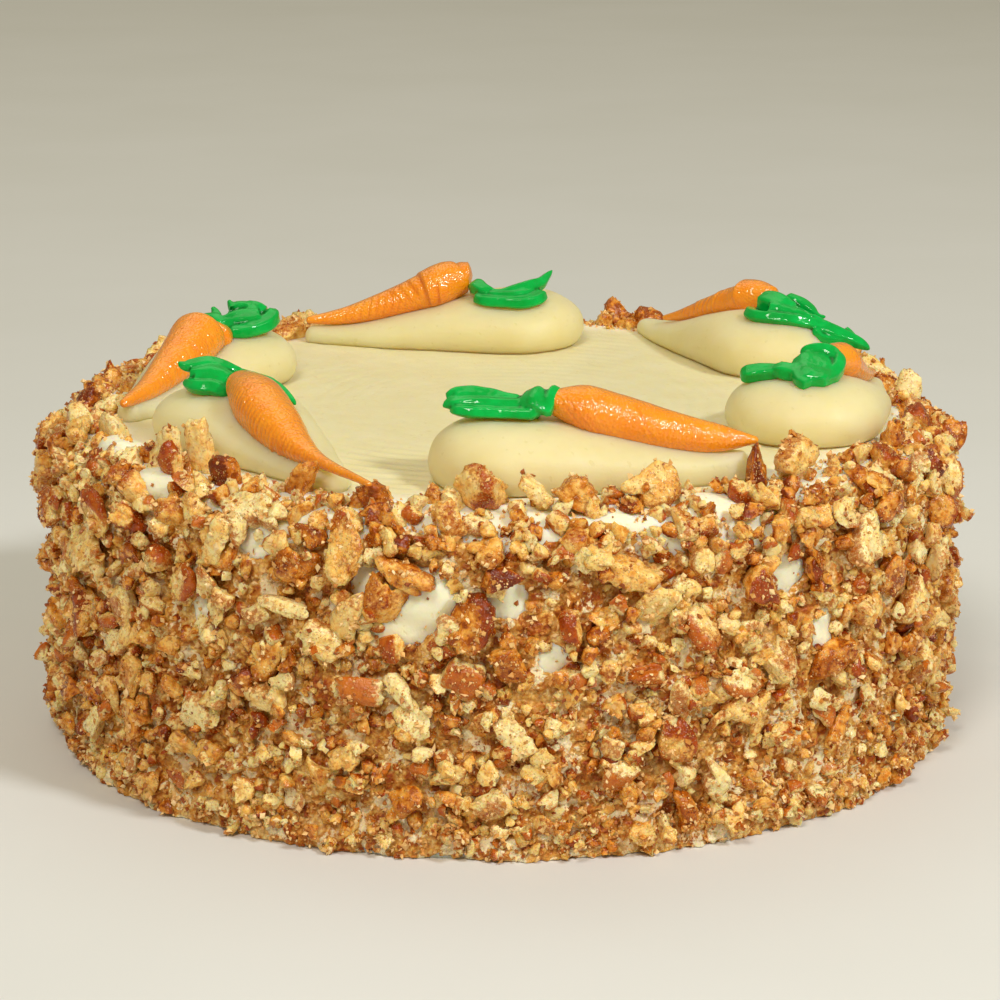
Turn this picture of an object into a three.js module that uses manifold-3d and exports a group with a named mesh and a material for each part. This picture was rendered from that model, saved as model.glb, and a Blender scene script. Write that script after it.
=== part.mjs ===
// A round carrot cake: sides and rim packed with chopped pecans round a plain iced top, which
// carries six piped teardrops of frosting, each with an icing carrot and its leafy green.
// Millimetres, +Z up. The origin is the middle of the flat underside, and -Y is the front.
import * as THREE from "three";
import { mergeVertices } from "three/addons/utils/BufferGeometryUtils.js";
import Module from "manifold-3d";

const wasm = await Module();
wasm.setup();

// Driving dimensions of the cake.
const cakeHeight = 72.7; // level of the plain iced top
const sideRadius = 103.4; // outside of the nut coat, on average
const rimInnerRadius = 89.5; // where the nut coat ends on top
const rimRise = 3; // how far the coat stands above the iced top
const shoulderRadius = 9;
const skirtRadius = 107.2; // crumbs gathered round the foot
const skirtHeight = 6;
const coatRoughness = 1.1; // bumps of the nuts too small to show one by one
const latheSides = 54;

// Nuts that show one by one, fused to the coat. Half sizes run outward, sideways, upright.
const nutSeed = 8;
const rimNutCount = 34;
const rimNutReach = [4.2, 6.0, 5.4];
const rimNutArc = [-18, 214]; // bearings in degrees, from the right round the back to the left
const sideNutCount = 134;
const sideNutReach = [3.8, 5.6, 7.4];
const sideNutTaper = 0.35; // nuts low on the side are smaller by this share
const nutClearance = 0.8; // no nut comes closer to a topping

// The biggest nuts stand along the front of the rim, listed from left to right by bearing in
// degrees, radius, height of the middle above the iced top, and half sizes.
const frontNuts = [
  { bearing: -142, radius: 90.5, height: 3, halfSizes: [2.8, 3.7, 5.4] },
  { bearing: -137.5, radius: 94, height: 2, halfSizes: [2.3, 2.9, 5.5] },
  { bearing: -135.5, radius: 89, height: 5.4, halfSizes: [2.3, 2.6, 6.4] },
  { bearing: -129, radius: 91, height: 1.8, halfSizes: [2.6, 3.3, 4] },
  { bearing: -117, radius: 91, height: 2.8, halfSizes: [3.4, 4.5, 4.4] },
  { bearing: -106.5, radius: 92, height: 1.6, halfSizes: [2.8, 3.7, 2.8] },
  { bearing: -92.5, radius: 92.6, height: 4, halfSizes: [3.6, 5.4, 5] },
  { bearing: -85.5, radius: 92.6, height: 3.6, halfSizes: [2.4, 3.2, 3.8] },
  { bearing: -80.5, radius: 92.8, height: 2.8, halfSizes: [3.2, 4.4, 3.6] },
  { bearing: -70.5, radius: 92, height: 3, halfSizes: [3.6, 6.3, 4.8] },
  { bearing: -54, radius: 91, height: 3.8, halfSizes: [2.4, 2.4, 5.2] },
  { bearing: -48, radius: 92.6, height: 4.2, halfSizes: [3.2, 5.2, 4.4] },
  { bearing: -35, radius: 94, height: 1.2, halfSizes: [2.4, 2.8, 3] },
  { bearing: -25, radius: 94.6, height: 2.5, halfSizes: [2.8, 3.5, 4.2] },
];

// The gap that parts two solids which touch on the real cake.
const gap = 0.3;

// Thickness along a carrot, as shares of its widest, at even steps from head to tip.
const plainOutline = [0.55, 0.99, 0.89, 0.73, 0.54, 0.35, 0.16];
const slimOutline = [0.55, 1, 0.82, 0.66, 0.5, 0.34, 0.16];
const fullOutline = [0.55, 1, 0.98, 0.91, 0.77, 0.56, 0.16];
const tailedOutline = [0.58, 0.94, 0.86, 0.54, 0.26, 0.17, 0.1];

// Piped toppings. Each set lies in its own frame: +X runs from the middle of the teardrop's
// fat end to its tail, and Z = 0 is the iced top. A carrot starts and ends at [along, aside,
// lift of its middle above the crest], and its head bends over by nod: [aside, down].
// A leaf is a run of [along, aside, rise, half width].
const toppingSets = [
  {
    name: "front",
    x: 2,
    y: -70,
    heading: 1,
    teardrop: { length: 48, halfWidth: 17, height: 13.6, tailHeight: 6 },
    carrot: { head: [9, 0.5, 3.4], tip: [51.5, -0.5, 2.4], halfWidth: 5.6, outline: fullOutline },
    leaf: [[9, 0.5, 3, 3.4], [5, 0, 3.2, 4.6], [1, -0.5, 1, 3.4], [-6, 0, 1.2, 4.4], [-14, 1, 1.6, 2.4]],
  },
  {
    name: "right",
    x: 68,
    y: -27.5,
    heading: 63,
    teardrop: { length: 41, halfWidth: 18, height: 12.8, tailHeight: 4 },
    carrot: { head: [6, -3, 3], tip: [42, 0, 1.2], halfWidth: 4.8 },
    leaf: [[5, -6, 0.5, 5], [2, -1.5, 2.2, 6.4], [1, 4.5, 1.2, 3.2], [2, 9, 0.6, 3.2], [3, 14, 1.4, 2.2]],
  },
  {
    name: "right_back",
    x: 66,
    y: 40,
    heading: 126,
    teardrop: { length: 48, halfWidth: 16.5, height: 13.5, tailHeight: 3.5 },
    carrot: { head: [5, -3.5, 2.6], tip: [39, 2, 1.2], halfWidth: 4.8 },
    leaf: [[9, 5, 1, 4.4], [3, 2, 2.6, 6], [-4, -3, 0.8, 5], [-9, -8, 0.5, 3.2], [-12, -13, 0.8, 1.8]],
  },
  {
    name: "back",
    x: 4,
    y: 69,
    heading: 181,
    teardrop: { length: 50, halfWidth: 17, height: 12.8, tailHeight: 4 },
    carrot: { head: [12, -1, 4.4], tip: [52, 0, 1.4], halfWidth: 6.1, outline: slimOutline },
    leaf: [[12, 4, 1.6, 3], [7, 6.5, 0.2, 4], [0, 8, 0, 4.2], [-6, 5, 1.6, 4], [-9.5, 1, 5.5, 1.4]],
  },
  {
    name: "left_back",
    x: -65,
    y: 26,
    heading: 246,
    teardrop: { length: 45, halfWidth: 16.5, height: 12.2, tailHeight: 4 },
    carrot: { head: [7, 0, 2.6], tip: [50, 1, 0.6], halfWidth: 6.4, nod: [2.2, 2.6] },
    leaf: [[8, -5, 2, 2.4], [3, -5, 2.4, 3.8], [-5, -3, 1.8, 5], [-8, 3, 0.8, 4.6], [-4, 8, 0.4, 3]],
  },
  {
    name: "left_front",
    x: -60,
    y: -32.5,
    heading: 300,
    teardrop: { length: 52, halfWidth: 16.5, height: 11.6, tailHeight: 4.2 },
    carrot: {
      head: [9.5, -1, 2.8],
      tip: [68.5, -1, 0.6],
      halfWidth: 6.5,
      bow: -1.6,
      outline: tailedOutline,
    },
    leaf: [[17, 9, 0.2, 1.4], [9, 6, 0.2, 2.6], [3, 1, 1.4, 4.4], [-2, -4, 1.4, 4.6], [-4, -10, 2.6, 1.4]],
  },
];

const frostingColour = 0xf1e3b0;
const nutColour = 0xc08c4e;
const carrotColour = 0xf28a22;
const leafColour = 0x0f9a4a;

// ---------------------------------------------------------------- helpers

/** The same run of draws every time: each call gives a number from 0 up to 1. */
function seededRandom(seed) {
  let state = seed;
  return () => {
    state = (state * 1664525 + 1013904223) % 4294967296;
    return state / 4294967296;
  };
}

/** Moves every vertex of a geometry to where place(vertex) puts it. */
function reshape(geometry, place) {
  const positions = geometry.getAttribute("position");
  const vertex = new THREE.Vector3();
  for (let i = 0; i < positions.count; i += 1) {
    vertex.fromBufferAttribute(positions, i);
    place(vertex);
    positions.setXYZ(i, vertex.x, vertex.y, vertex.z);
  }
  return geometry;
}

/** Turns a closed geometry into a solid, welded and free of triangles without area. */
function toSolid(geometry) {
  geometry.deleteAttribute("normal");
  geometry.deleteAttribute("uv");
  const welded = mergeVertices(geometry, 1e-3);
  const corners = welded.getIndex().array;
  const kept = [];
  for (let i = 0; i < corners.length; i += 3) {
    const [a, b, c] = corners.slice(i, i + 3);
    if (a !== b && b !== c && c !== a) {
      kept.push(a, b, c);
    }
  }
  const mesh = new wasm.Mesh({
    numProp: 3,
    vertProperties: new Float32Array(welded.getAttribute("position").array),
    triVerts: new Uint32Array(kept),
  });
  return new wasm.Manifold(mesh);
}

/** The biggest body of a solid, without loose scraps or sealed hollows. */
function largestBody(solid) {
  const bodies = solid.decompose();
  return bodies.reduce((best, body) => (body.volume() > best.volume() ? body : best));
}

/** A named, coloured mesh of one solid. */
function toMesh(name, solid, colour, roughness) {
  const { vertProperties, triVerts } = largestBody(solid).getMesh();
  const geometry = new THREE.BufferGeometry();
  geometry.setAttribute("position", new THREE.BufferAttribute(vertProperties, 3));
  geometry.setIndex(new THREE.BufferAttribute(triVerts, 1));
  geometry.computeVertexNormals();
  const material = new THREE.MeshStandardMaterial({ color: colour, roughness, metalness: 0 });
  const mesh = new THREE.Mesh(geometry, material);
  mesh.name = name;
  return mesh;
}

/** A lathe turned about Z, from [radius, height] pairs that run upwards. */
function latheAboutZ(profile, sides) {
  const points = profile.map(([radius, height]) => new THREE.Vector2(radius, height));
  return new THREE.LatheGeometry(points, sides).rotateX(Math.PI / 2);
}

// ---------------------------------------------------------------- teardrop of frosting

/** Height of the crest over the spine, from the fat end to the tail. */
function crestHeight(drop, along) {
  const share = THREE.MathUtils.clamp(along / drop.length, 0, 1);
  const fall = (1 + Math.cos(Math.PI * share)) / 2;
  return drop.tailHeight + (drop.height - drop.tailHeight) * fall;
}

/** Half width of the teardrop beside a point of its spine. */
function halfWidthAt(drop, along) {
  const share = THREE.MathUtils.clamp(along / drop.length, 0, 1);
  return drop.halfWidth * (1 - share ** 1.35) ** 0.9 + 3 * share ** 2;
}

const waist = 0.32; // the section is widest at this share of its height
const footWidth = 0.86; // and this share of its width at the foot

/** The section of a teardrop as [share of width, share of height], foot to crest. */
function sectionProfile() {
  const profile = [[0, 0]];
  for (const degrees of [-90, -40, 5, 35, 62, 90]) {
    const angle = THREE.MathUtils.degToRad(degrees);
    const round = Math.max(0, Math.cos(angle));
    if (degrees < 0) {
      profile.push([footWidth + (1 - footWidth) * round, waist + waist * Math.sin(angle)]);
    } else {
      profile.push([degrees === 90 ? 0 : round ** (2 / 2.6), waist + (1 - waist) * Math.sin(angle)]);
    }
  }
  return profile;
}

/** Height of the teardrop's skin over a point of its own frame. */
function skinHeight(drop, along, aside) {
  const spine = THREE.MathUtils.clamp(along, 0, drop.length);
  const share = Math.hypot(along - spine, aside) / halfWidthAt(drop, spine);
  const round = Math.sqrt(Math.max(0, 1 - share ** 2.6));
  return crestHeight(drop, spine) * (waist + (1 - waist) * round);
}

/** Where an angle round the lathe lands on the teardrop: a spine point and a way to face. */
function teardropColumn(drop, angle) {
  const tailAngle = Math.PI / 12;
  const turn = Math.abs(angle);
  if (turn >= Math.PI / 2) {
    return { spine: 0, facing: angle };
  }
  if (turn >= tailAngle - 1e-6) {
    const share = (Math.PI / 2 - turn) / (Math.PI / 2 - tailAngle);
    return { spine: drop.length * share, facing: (Math.sign(angle) * Math.PI) / 2 };
  }
  return { spine: drop.length, facing: (angle * Math.PI) / 2 / tailAngle };
}

/** The teardrop: a lathe of its section, drawn out along the spine. */
function teardropGeometry(drop, growth = 0) {
  const grown = {
    length: drop.length,
    halfWidth: drop.halfWidth + growth,
    height: drop.height + 2 * growth,
    tailHeight: drop.tailHeight + 2 * growth,
  };
  return reshape(latheAboutZ(sectionProfile(), 24), (vertex) => {
    const share = Math.hypot(vertex.x, vertex.y);
    const { spine, facing } = teardropColumn(grown, Math.atan2(vertex.y, vertex.x));
    const reach = halfWidthAt(grown, spine) * share;
    const height = crestHeight(grown, spine) * vertex.z;
    vertex.set(spine + reach * Math.cos(facing), reach * Math.sin(facing), height - growth);
  });
}

// ---------------------------------------------------------------- carrot

/** Share of a carrot's full thickness, from its head to its tip. */
function carrotThickness({ outline = plainOutline }, share) {
  const step = THREE.MathUtils.clamp(share, 0, 1) * (outline.length - 1);
  const before = Math.min(Math.floor(step), outline.length - 2);
  return THREE.MathUtils.lerp(outline[before], outline[before + 1], step - before);
}

/** The middle of a carrot, from head to tip, bowed aside and with its head bent over. */
function carrotMiddle(drop, { head, tip, bow = 0, nod = [0, 0] }, share) {
  const headLength = 0.17;
  const bend = 1 - THREE.MathUtils.smoothstep(share, 0, headLength);
  const along = THREE.MathUtils.lerp(head[0], tip[0], share);
  const straight = THREE.MathUtils.lerp(head[1], tip[1], share);
  const aside = straight + bow * Math.sin(Math.PI * share) + nod[0] * bend;
  const lift = THREE.MathUtils.lerp(head[2], tip[2], share) - nod[1] * bend;
  return new THREE.Vector3(along, aside, crestHeight(drop, along) + lift);
}

/** The carrot: a turned root, laid along its middle line and a little flattened. */
function carrotGeometry(drop, carrot, growth = 0) {
  const stations = [0, 0.07, 0.2, 0.34, 0.5, 0.66, 0.82, 1];
  const flatness = 0.9;
  const extra = (2 * growth) / (carrot.tip[0] - carrot.head[0]);
  const profile = [[0, -0.03 - extra]];
  for (const share of stations) {
    profile.push([carrotThickness(carrot, share), share]);
  }
  profile.push([0, 1.015 + extra]);
  return reshape(latheAboutZ(profile, 10), (vertex) => {
    const middle = carrotMiddle(drop, carrot, vertex.z);
    const share = Math.hypot(vertex.x, vertex.y);
    const angle = Math.atan2(vertex.y, vertex.x);
    const reach = share > 0 ? share * carrot.halfWidth + growth : 0;
    middle.y += reach * Math.cos(angle);
    middle.z += reach * Math.sin(angle) * flatness;
    vertex.copy(middle);
  });
}

// ---------------------------------------------------------------- leaf

/** The leaf: a thin ribbed ribbon that lies over the teardrop's fat end. */
function leafGeometry(drop, run) {
  const thickness = 2.8;
  const path = new THREE.CatmullRomCurve3(run.map((point) => new THREE.Vector3(...point.slice(0, 3))));
  const widths = new THREE.SplineCurve(run.map((point, i) => new THREE.Vector2(i, point[3])));
  return reshape(new THREE.BoxGeometry(1, 2, 1, 9, 4, 1), (vertex) => {
    const share = vertex.x + 0.5;
    const middle = path.getPoint(share);
    const tangent = path.getTangent(share);
    const level = Math.hypot(tangent.x, tangent.y);
    const reach = widths.getPoint(share).y * vertex.y;
    const along = middle.x - (tangent.y / level) * reach;
    const aside = middle.y + (tangent.x / level) * reach;
    const rib = 0.5 * Math.cos(2 * Math.PI * vertex.y) - 0.9 * vertex.y ** 2;
    const layer = vertex.z > 0 ? thickness + middle.z + rib : gap + 0.45 * middle.z;
    vertex.set(along, aside, skinHeight(drop, along, aside) + layer);
  });
}

// ---------------------------------------------------------------- iced body with its nut coat

/** The iced body: flat foot, skirt of crumbs, straight side, rounded rim and plain top. */
function bodySolid() {
  const rimTop = cakeHeight + rimRise;
  const profile = [
    [0, 0],
    [skirtRadius - 1, 0],
    [skirtRadius, skirtHeight / 3],
    [sideRadius + 0.6, skirtHeight],
  ];
  for (let row = 1; row <= 5; row += 1) {
    profile.push([sideRadius, skirtHeight + (row * (rimTop - shoulderRadius - skirtHeight)) / 6]);
  }
  for (const degrees of [0, 35, 65, 90]) {
    const angle = THREE.MathUtils.degToRad(degrees);
    const inset = shoulderRadius * (1 - Math.cos(angle));
    profile.push([sideRadius - inset, rimTop - shoulderRadius * (1 - Math.sin(angle))]);
  }
  profile.push([rimInnerRadius + 2.5, rimTop - 0.4], [rimInnerRadius, cakeHeight], [0, cakeHeight]);
  const geometry = latheAboutZ(profile, latheSides);
  reshape(geometry, (vertex) => {
    const radius = Math.hypot(vertex.x, vertex.y);
    const angle = Math.atan2(vertex.y, vertex.x);
    if (radius > rimInnerRadius + 3 && vertex.z > 0) {
      const bump = Math.sin(17 * angle + 5 * vertex.z) + Math.sin(23 * angle - 3 * vertex.z + 1);
      const swelling = 1 + (coatRoughness * bump) / (2 * radius);
      vertex.x *= swelling;
      vertex.y *= swelling;
    }
  });
  return toSolid(geometry);
}

/** True where a ball of this size would touch a topping or its clearance. */
function touchesTopping(centre, size) {
  const reach = size + nutClearance;
  return toppingSets.some(({ x, y, heading, teardrop: drop, carrot, leaf }) => {
    const local = new THREE.Vector3(centre.x - x, centre.y - y, centre.z - cakeHeight);
    local.applyAxisAngle(new THREE.Vector3(0, 0, 1), THREE.MathUtils.degToRad(-heading));
    const spine = THREE.MathUtils.clamp(local.x, 0, drop.length);
    const aside = Math.hypot(local.x - spine, local.y) - halfWidthAt(drop, spine);
    if (aside < reach && local.z - reach < crestHeight(drop, spine)) {
      return true;
    }
    for (let share = 0; share <= 1; share += 0.05) {
      const middle = carrotMiddle(drop, carrot, share);
      if (middle.distanceTo(local) < reach + carrot.halfWidth * carrotThickness(carrot, share)) {
        return true;
      }
    }
    return leaf.some(([a, b, , halfWidth]) => {
      const middle = new THREE.Vector3(a, b, skinHeight(drop, a, b) + 2);
      return middle.distanceTo(local) < reach + halfWidth;
    });
  });
}

/** One chopped nut: an uneven lump, turned and set in place. */
function nutSolid({ centre, halfSizes, turn }, draw) {
  const lump = new THREE.IcosahedronGeometry(1, 0).deleteAttribute("normal").deleteAttribute("uv");
  return toSolid(
    reshape(mergeVertices(lump), (vertex) => {
      vertex.multiplyScalar(0.86 + 0.28 * draw());
      vertex.multiply(halfSizes).applyEuler(turn).add(centre);
    }),
  );
}

/** A nut's place and size, from where its middle lies round the cake and how it is turned. */
function nutPlace(angle, radius, height, [roll, lean], halfSizes) {
  return {
    centre: new THREE.Vector3(radius * Math.cos(angle), radius * Math.sin(angle), height),
    turn: new THREE.Euler(roll, lean, angle, "ZYX"),
    halfSizes: new THREE.Vector3(...halfSizes),
  };
}

/** The nuts of the coat: those along the front, the rest of the rim, then down the side. */
function nutPlaces(draw) {
  const goldenAngle = Math.PI * (3 - Math.sqrt(5));
  const drawnSizes = (reach, scale) => reach.map((size) => size * scale * (0.62 + 0.38 * draw()));
  const spread = (width) => width * (draw() - 0.5);
  const places = frontNuts.map(({ bearing, radius, height, halfSizes }) => {
    const angle = THREE.MathUtils.degToRad(bearing);
    return nutPlace(angle, radius, cakeHeight + height, [spread(0.5), spread(0.4)], halfSizes);
  });
  for (let i = 0; i < rimNutCount; i += 1) {
    const bearing = THREE.MathUtils.lerp(...rimNutArc, (i + 0.6 * draw()) / rimNutCount);
    const radius = rimInnerRadius + 1 + 7 * draw();
    const height = cakeHeight - 0.6 + 1.6 * draw();
    const turn = [spread(1.6), spread(1.2)];
    const halfSizes = drawnSizes(rimNutReach, 1);
    places.push(nutPlace(THREE.MathUtils.degToRad(bearing), radius, height, turn, halfSizes));
  }
  for (let i = 0; i < sideNutCount; i += 1) {
    const share = (i + 0.5) / sideNutCount;
    const angle = i * goldenAngle + spread(0.3);
    const radius = sideRadius + 0.4 + spread(0.6);
    const height = THREE.MathUtils.lerp(cakeHeight - 5, skirtHeight + 3, share);
    const turn = [spread(2 * Math.PI), spread(0.8)];
    const halfSizes = drawnSizes(sideNutReach, 1 - sideNutTaper * share);
    places.push(nutPlace(angle, radius, height, turn, halfSizes));
  }
  return places;
}

/** Slides a nut outward over the rim until it is clear of the toppings: true once it is. */
function slideClear({ centre, halfSizes }) {
  const stepLength = 0.7;
  const mostSteps = 7;
  const size = (halfSizes.x + halfSizes.y) / 2;
  const outward = new THREE.Vector3(centre.x, centre.y, 0).setLength(stepLength);
  for (let step = 0; step < mostSteps && touchesTopping(centre, size); step += 1) {
    centre.add(outward);
  }
  return !touchesTopping(centre, size);
}

/** The iced body with every nut that can stay clear of the toppings. */
function frostedCakeSolid() {
  const draw = seededRandom(nutSeed);
  let cake = bodySolid();
  for (const place of nutPlaces(draw)) {
    if (slideClear(place)) {
      cake = cake.add(nutSolid(place, draw));
    }
  }
  for (const { x, y, heading, teardrop: drop } of toppingSets) {
    const bed = teardropGeometry(drop, gap).rotateZ(THREE.MathUtils.degToRad(heading));
    cake = cake.subtract(toSolid(bed.translate(x, y, cakeHeight + gap + 0.05)));
  }
  return cake;
}

// ---------------------------------------------------------------- assembly

/** One set of toppings, as a group placed on the iced top. */
function toppingGroup({ name, x, y, heading, teardrop: drop, carrot, leaf }) {
  const grownDrop = toSolid(teardropGeometry(drop, gap));
  const grownCarrot = toSolid(carrotGeometry(drop, carrot, gap));
  const carrotBody = toSolid(carrotGeometry(drop, carrot)).subtract(grownDrop);
  const leafBody = toSolid(leafGeometry(drop, leaf)).subtract(grownDrop).subtract(grownCarrot);
  const group = new THREE.Group();
  group.add(toMesh(`teardrop_${name}`, toSolid(teardropGeometry(drop)), frostingColour, 0.55));
  group.add(toMesh(`carrot_${name}`, carrotBody, carrotColour, 0.4));
  group.add(toMesh(`leaf_${name}`, leafBody, leafColour, 0.3));
  group.position.set(x, y, cakeHeight + gap);
  group.rotation.z = THREE.MathUtils.degToRad(heading);
  return group;
}

const carrotCake = new THREE.Group();
carrotCake.add(toMesh("frosted_cake", frostedCakeSolid(), nutColour, 0.6));
for (const set of toppingSets) {
  carrotCake.add(toppingGroup(set));
}

export default carrotCake;
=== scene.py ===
import math

import bmesh
import bpy
import numpy as np
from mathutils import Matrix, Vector
from mathutils.bvhtree import BVHTree


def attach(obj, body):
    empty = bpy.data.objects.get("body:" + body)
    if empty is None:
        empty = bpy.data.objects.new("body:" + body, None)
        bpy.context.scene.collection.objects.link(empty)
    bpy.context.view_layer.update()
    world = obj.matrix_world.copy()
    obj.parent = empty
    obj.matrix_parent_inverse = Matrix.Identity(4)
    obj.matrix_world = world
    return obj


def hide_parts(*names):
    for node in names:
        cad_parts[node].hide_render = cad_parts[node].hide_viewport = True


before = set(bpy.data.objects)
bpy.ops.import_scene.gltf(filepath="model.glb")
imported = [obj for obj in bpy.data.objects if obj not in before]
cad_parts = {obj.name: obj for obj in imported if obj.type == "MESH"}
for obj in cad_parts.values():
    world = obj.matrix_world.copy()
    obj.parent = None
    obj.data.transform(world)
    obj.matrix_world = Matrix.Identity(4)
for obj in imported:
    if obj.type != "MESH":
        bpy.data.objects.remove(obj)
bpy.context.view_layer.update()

# A whole carrot cake, dressed over the solids of part.mjs: the iced body, its nut coat laid piece
# by piece, and six piped sets of teardrop, carrot and leaf. Shapes are in mm, in the frame of
# part.mjs, until new_piece turns them into metres. Bearings and angles are round the cake's axis.
MM = 0.001

# ------------------------------------------------------------------ sizes of the part, in mm

CAKE_HEIGHT = 72.7  # level of the plain iced top
TOP = CAKE_HEIGHT + 0.3  # level that the piped toppings stand on
RIM_INNER_RADIUS = 89.5
SKIRT_HEIGHT = 6.0
SIDE_RADIUS = 103.4

# The coat's middle surface in section: a side up from its foot, then a rounded shoulder, whose
# round is centred on a ring of the radius SHOULDER_AXIS, then a little of the top
SIDE_FOOT = 3.4
SIDE_LENGTH = 58.0
SHOULDER_LEVEL = SIDE_FOOT + SIDE_LENGTH
SHOULDER_AXIS = 92.0
SHOULDER_RADIUS = 11.0
SHOULDER_LENGTH = SHOULDER_RADIUS * math.pi / 2
COAT_LENGTH = SIDE_LENGTH + SHOULDER_LENGTH + 3.5

NUT_SEED = 8
RIM_NUT_COUNT = 34
RIM_NUT_REACH = (4.2, 6.0, 5.4)
RIM_NUT_ARC = (-18, 214)
DARK_RIM = (62, 82, 70)  # between these two bearings and above this height the nuts are dark
SIDE_NUT_COUNT = 134
SIDE_NUT_REACH = (3.8, 5.6, 7.4)
SIDE_NUT_TAPER = 0.35

# Nuts along the front rim: bearing, radius, height of the middle above the iced top, half sizes,
# kind of piece, look from 0, all pale, to 1, all dark
FRONT_NUTS = [
    (-142, 90.5, 3, (2.8, 3.7, 5.4), "slice", 0.15),
    (-137.5, 94, 2, (2.3, 2.9, 5.5), "curl", 0.45),
    (-135.5, 89, 5.4, (2.3, 2.6, 6.4), "splinter", 0.3),
    (-129, 91, 1.8, (2.6, 3.3, 4), "curl", 0.95),
    (-117, 91, 2.8, (3.4, 4.5, 4.4), "wedge", 0.8),
    (-106.5, 92, 1.6, (2.8, 3.7, 2.8), "slice", 1.0),
    (-92.5, 92.6, 4, (3.6, 5.4, 5), "wedge", 0.4),
    (-85.5, 92.6, 3.6, (2.4, 3.2, 3.8), "wedge", 0.2),
    (-80.5, 92.8, 2.8, (3.2, 4.4, 3.6), "slice", 0.7),
    (-70.5, 92, 3, (3.6, 6.3, 4.8), "wedge", 0.5),
    (-54, 91, 3.8, (2.4, 2.4, 5.2), "tip", 0.95),
    (-48, 92.6, 4.2, (3.2, 5.2, 4.4), "slice", 0.45),
    (-35, 94, 1.2, (2.4, 2.8, 3), "wedge", 0.3),
    (-25, 94.6, 2.5, (2.8, 3.5, 4.2), "tip", 0.8),
]

# Each set of toppings as part.mjs has it: place (x, y, heading), teardrop (length, half width,
# height, tail height), carrot (head, tip, half width, bow)
SETS = {
    "front": ((2, -70, 1), (48, 17, 13.6, 6), ((9, 0.5, 3.4), (51.5, -0.5, 2.4), 5.6, 0)),
    "right": ((68, -27.5, 63), (41, 18, 12.8, 4), ((6, -3, 3), (42, 0, 1.2), 4.8, 0)),
    "right_back": ((66, 40, 126), (48, 16.5, 13.5, 3.5), ((5, -3.5, 2.6), (39, 2, 1.2), 4.8, 0)),
    "back": ((4, 69, 181), (50, 17, 12.8, 4), ((12, -1, 4.4), (52, 0, 1.4), 6.1, 0)),
    "left_back": ((-65, 26, 246), (45, 16.5, 12.2, 4), ((7, 0, 2.6), (50, 1, 0.6), 6.4, 0)),
    "left_front": ((-60, -32.5, 300), (52, 16.5, 11.6, 4.2),
                   ((9.5, -1, 2.8), (68.5, -1, 0.6), 6.5, -1.6)),
}


# ------------------------------------------------------------------ helpers: noise and meshes

# Large odd numbers that scatter the bits of whole numbers, which are kept to 32 bits
SCATTER_XYZ = 374761393, 668265263, 2246822519
SCATTER_SEED = 3266489917
SCATTER_AGAIN = 1274126177
BITS_32 = 0xFFFFFFFF
BITS_24 = 0xFFFFFF


def lattice(corner, seed):
    """A draw from 0 to 1 for each whole-number corner of space."""
    mix = np.uint64(seed * SCATTER_SEED & BITS_32)
    for axis, scatter in enumerate(SCATTER_XYZ):
        whole = corner[..., axis].astype(np.int64).astype(np.uint64) & np.uint64(BITS_32)
        mix = mix + whole * np.uint64(scatter)
    mix = mix & np.uint64(BITS_32)
    mix = ((mix ^ (mix >> np.uint64(13))) * np.uint64(SCATTER_AGAIN)) & np.uint64(BITS_32)
    return ((mix ^ (mix >> np.uint64(16))) & np.uint64(BITS_24)) / float(BITS_24)


def noise(points, size, seed=0):
    """Smooth noise from -1 to 1 whose bumps are about this size."""
    scaled = np.asarray(points, float) / size + 100.0
    corner = np.floor(scaled)
    part = scaled - corner
    part = part * part * (3 - 2 * part)
    total = 0.0
    for dx in (0, 1):
        for dy in (0, 1):
            for dz in (0, 1):
                weight = 1.0
                for axis, d in enumerate((dx, dy, dz)):
                    weight = weight * (part[..., axis] if d else 1 - part[..., axis])
                total = total + weight * lattice(corner + (dx, dy, dz), seed)
    return 2 * total - 1


def smooth_step(low, high, x):
    """From 0 to 1 as x goes from low to high, flat at both ends."""
    t = np.clip((np.asarray(x, float) - low) / (high - low), 0, 1)
    return t * t * (3 - 2 * t)


def wrapped(angle):
    """An angle brought to within half a turn either way."""
    return (angle + np.pi) % (2 * np.pi) - np.pi


def even_angles(count):
    """So many angles evenly round a circle."""
    return np.arange(count) * 2 * np.pi / count


def round_points(radius, height, angle):
    """Points at these radii, heights and bearings round the cake's axis."""
    return np.stack(np.broadcast_arrays(radius * np.cos(angle), radius * np.sin(angle), height), -1)


def grid_faces(rows, cols):
    """Quads of a grid of rows by cols points, whose columns close round."""
    r = np.arange(rows - 1)[:, None]
    c = np.arange(cols)[None, :]
    nxt = (c + 1) % cols
    quads = np.stack([r * cols + c, r * cols + nxt, (r + 1) * cols + nxt, (r + 1) * cols + c], -1)
    return quads.reshape(-1, 4)


def tube_triangles(rows, cols):
    """Triangles of such a grid, shut by a point at each end; the two points come after its own."""
    quads = grid_faces(rows, cols)
    i = np.arange(cols)
    nxt = (i + 1) % cols
    last, ends = (rows - 1) * cols, rows * cols
    first_end = np.stack([nxt, i, np.full(cols, ends)], -1)
    last_end = np.stack([last + i, last + nxt, np.full(cols, ends + 1)], -1)
    return np.concatenate([quads[:, [0, 1, 2]], quads[:, [0, 2, 3]], first_end, last_end])


def keep_values(mesh, key, values):
    """Store a number for each point of a mesh, for a material to read."""
    layer = mesh.attributes.new(key, "FLOAT", "POINT")
    layer.data.foreach_set("value", np.asarray(values, np.float32))


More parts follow.
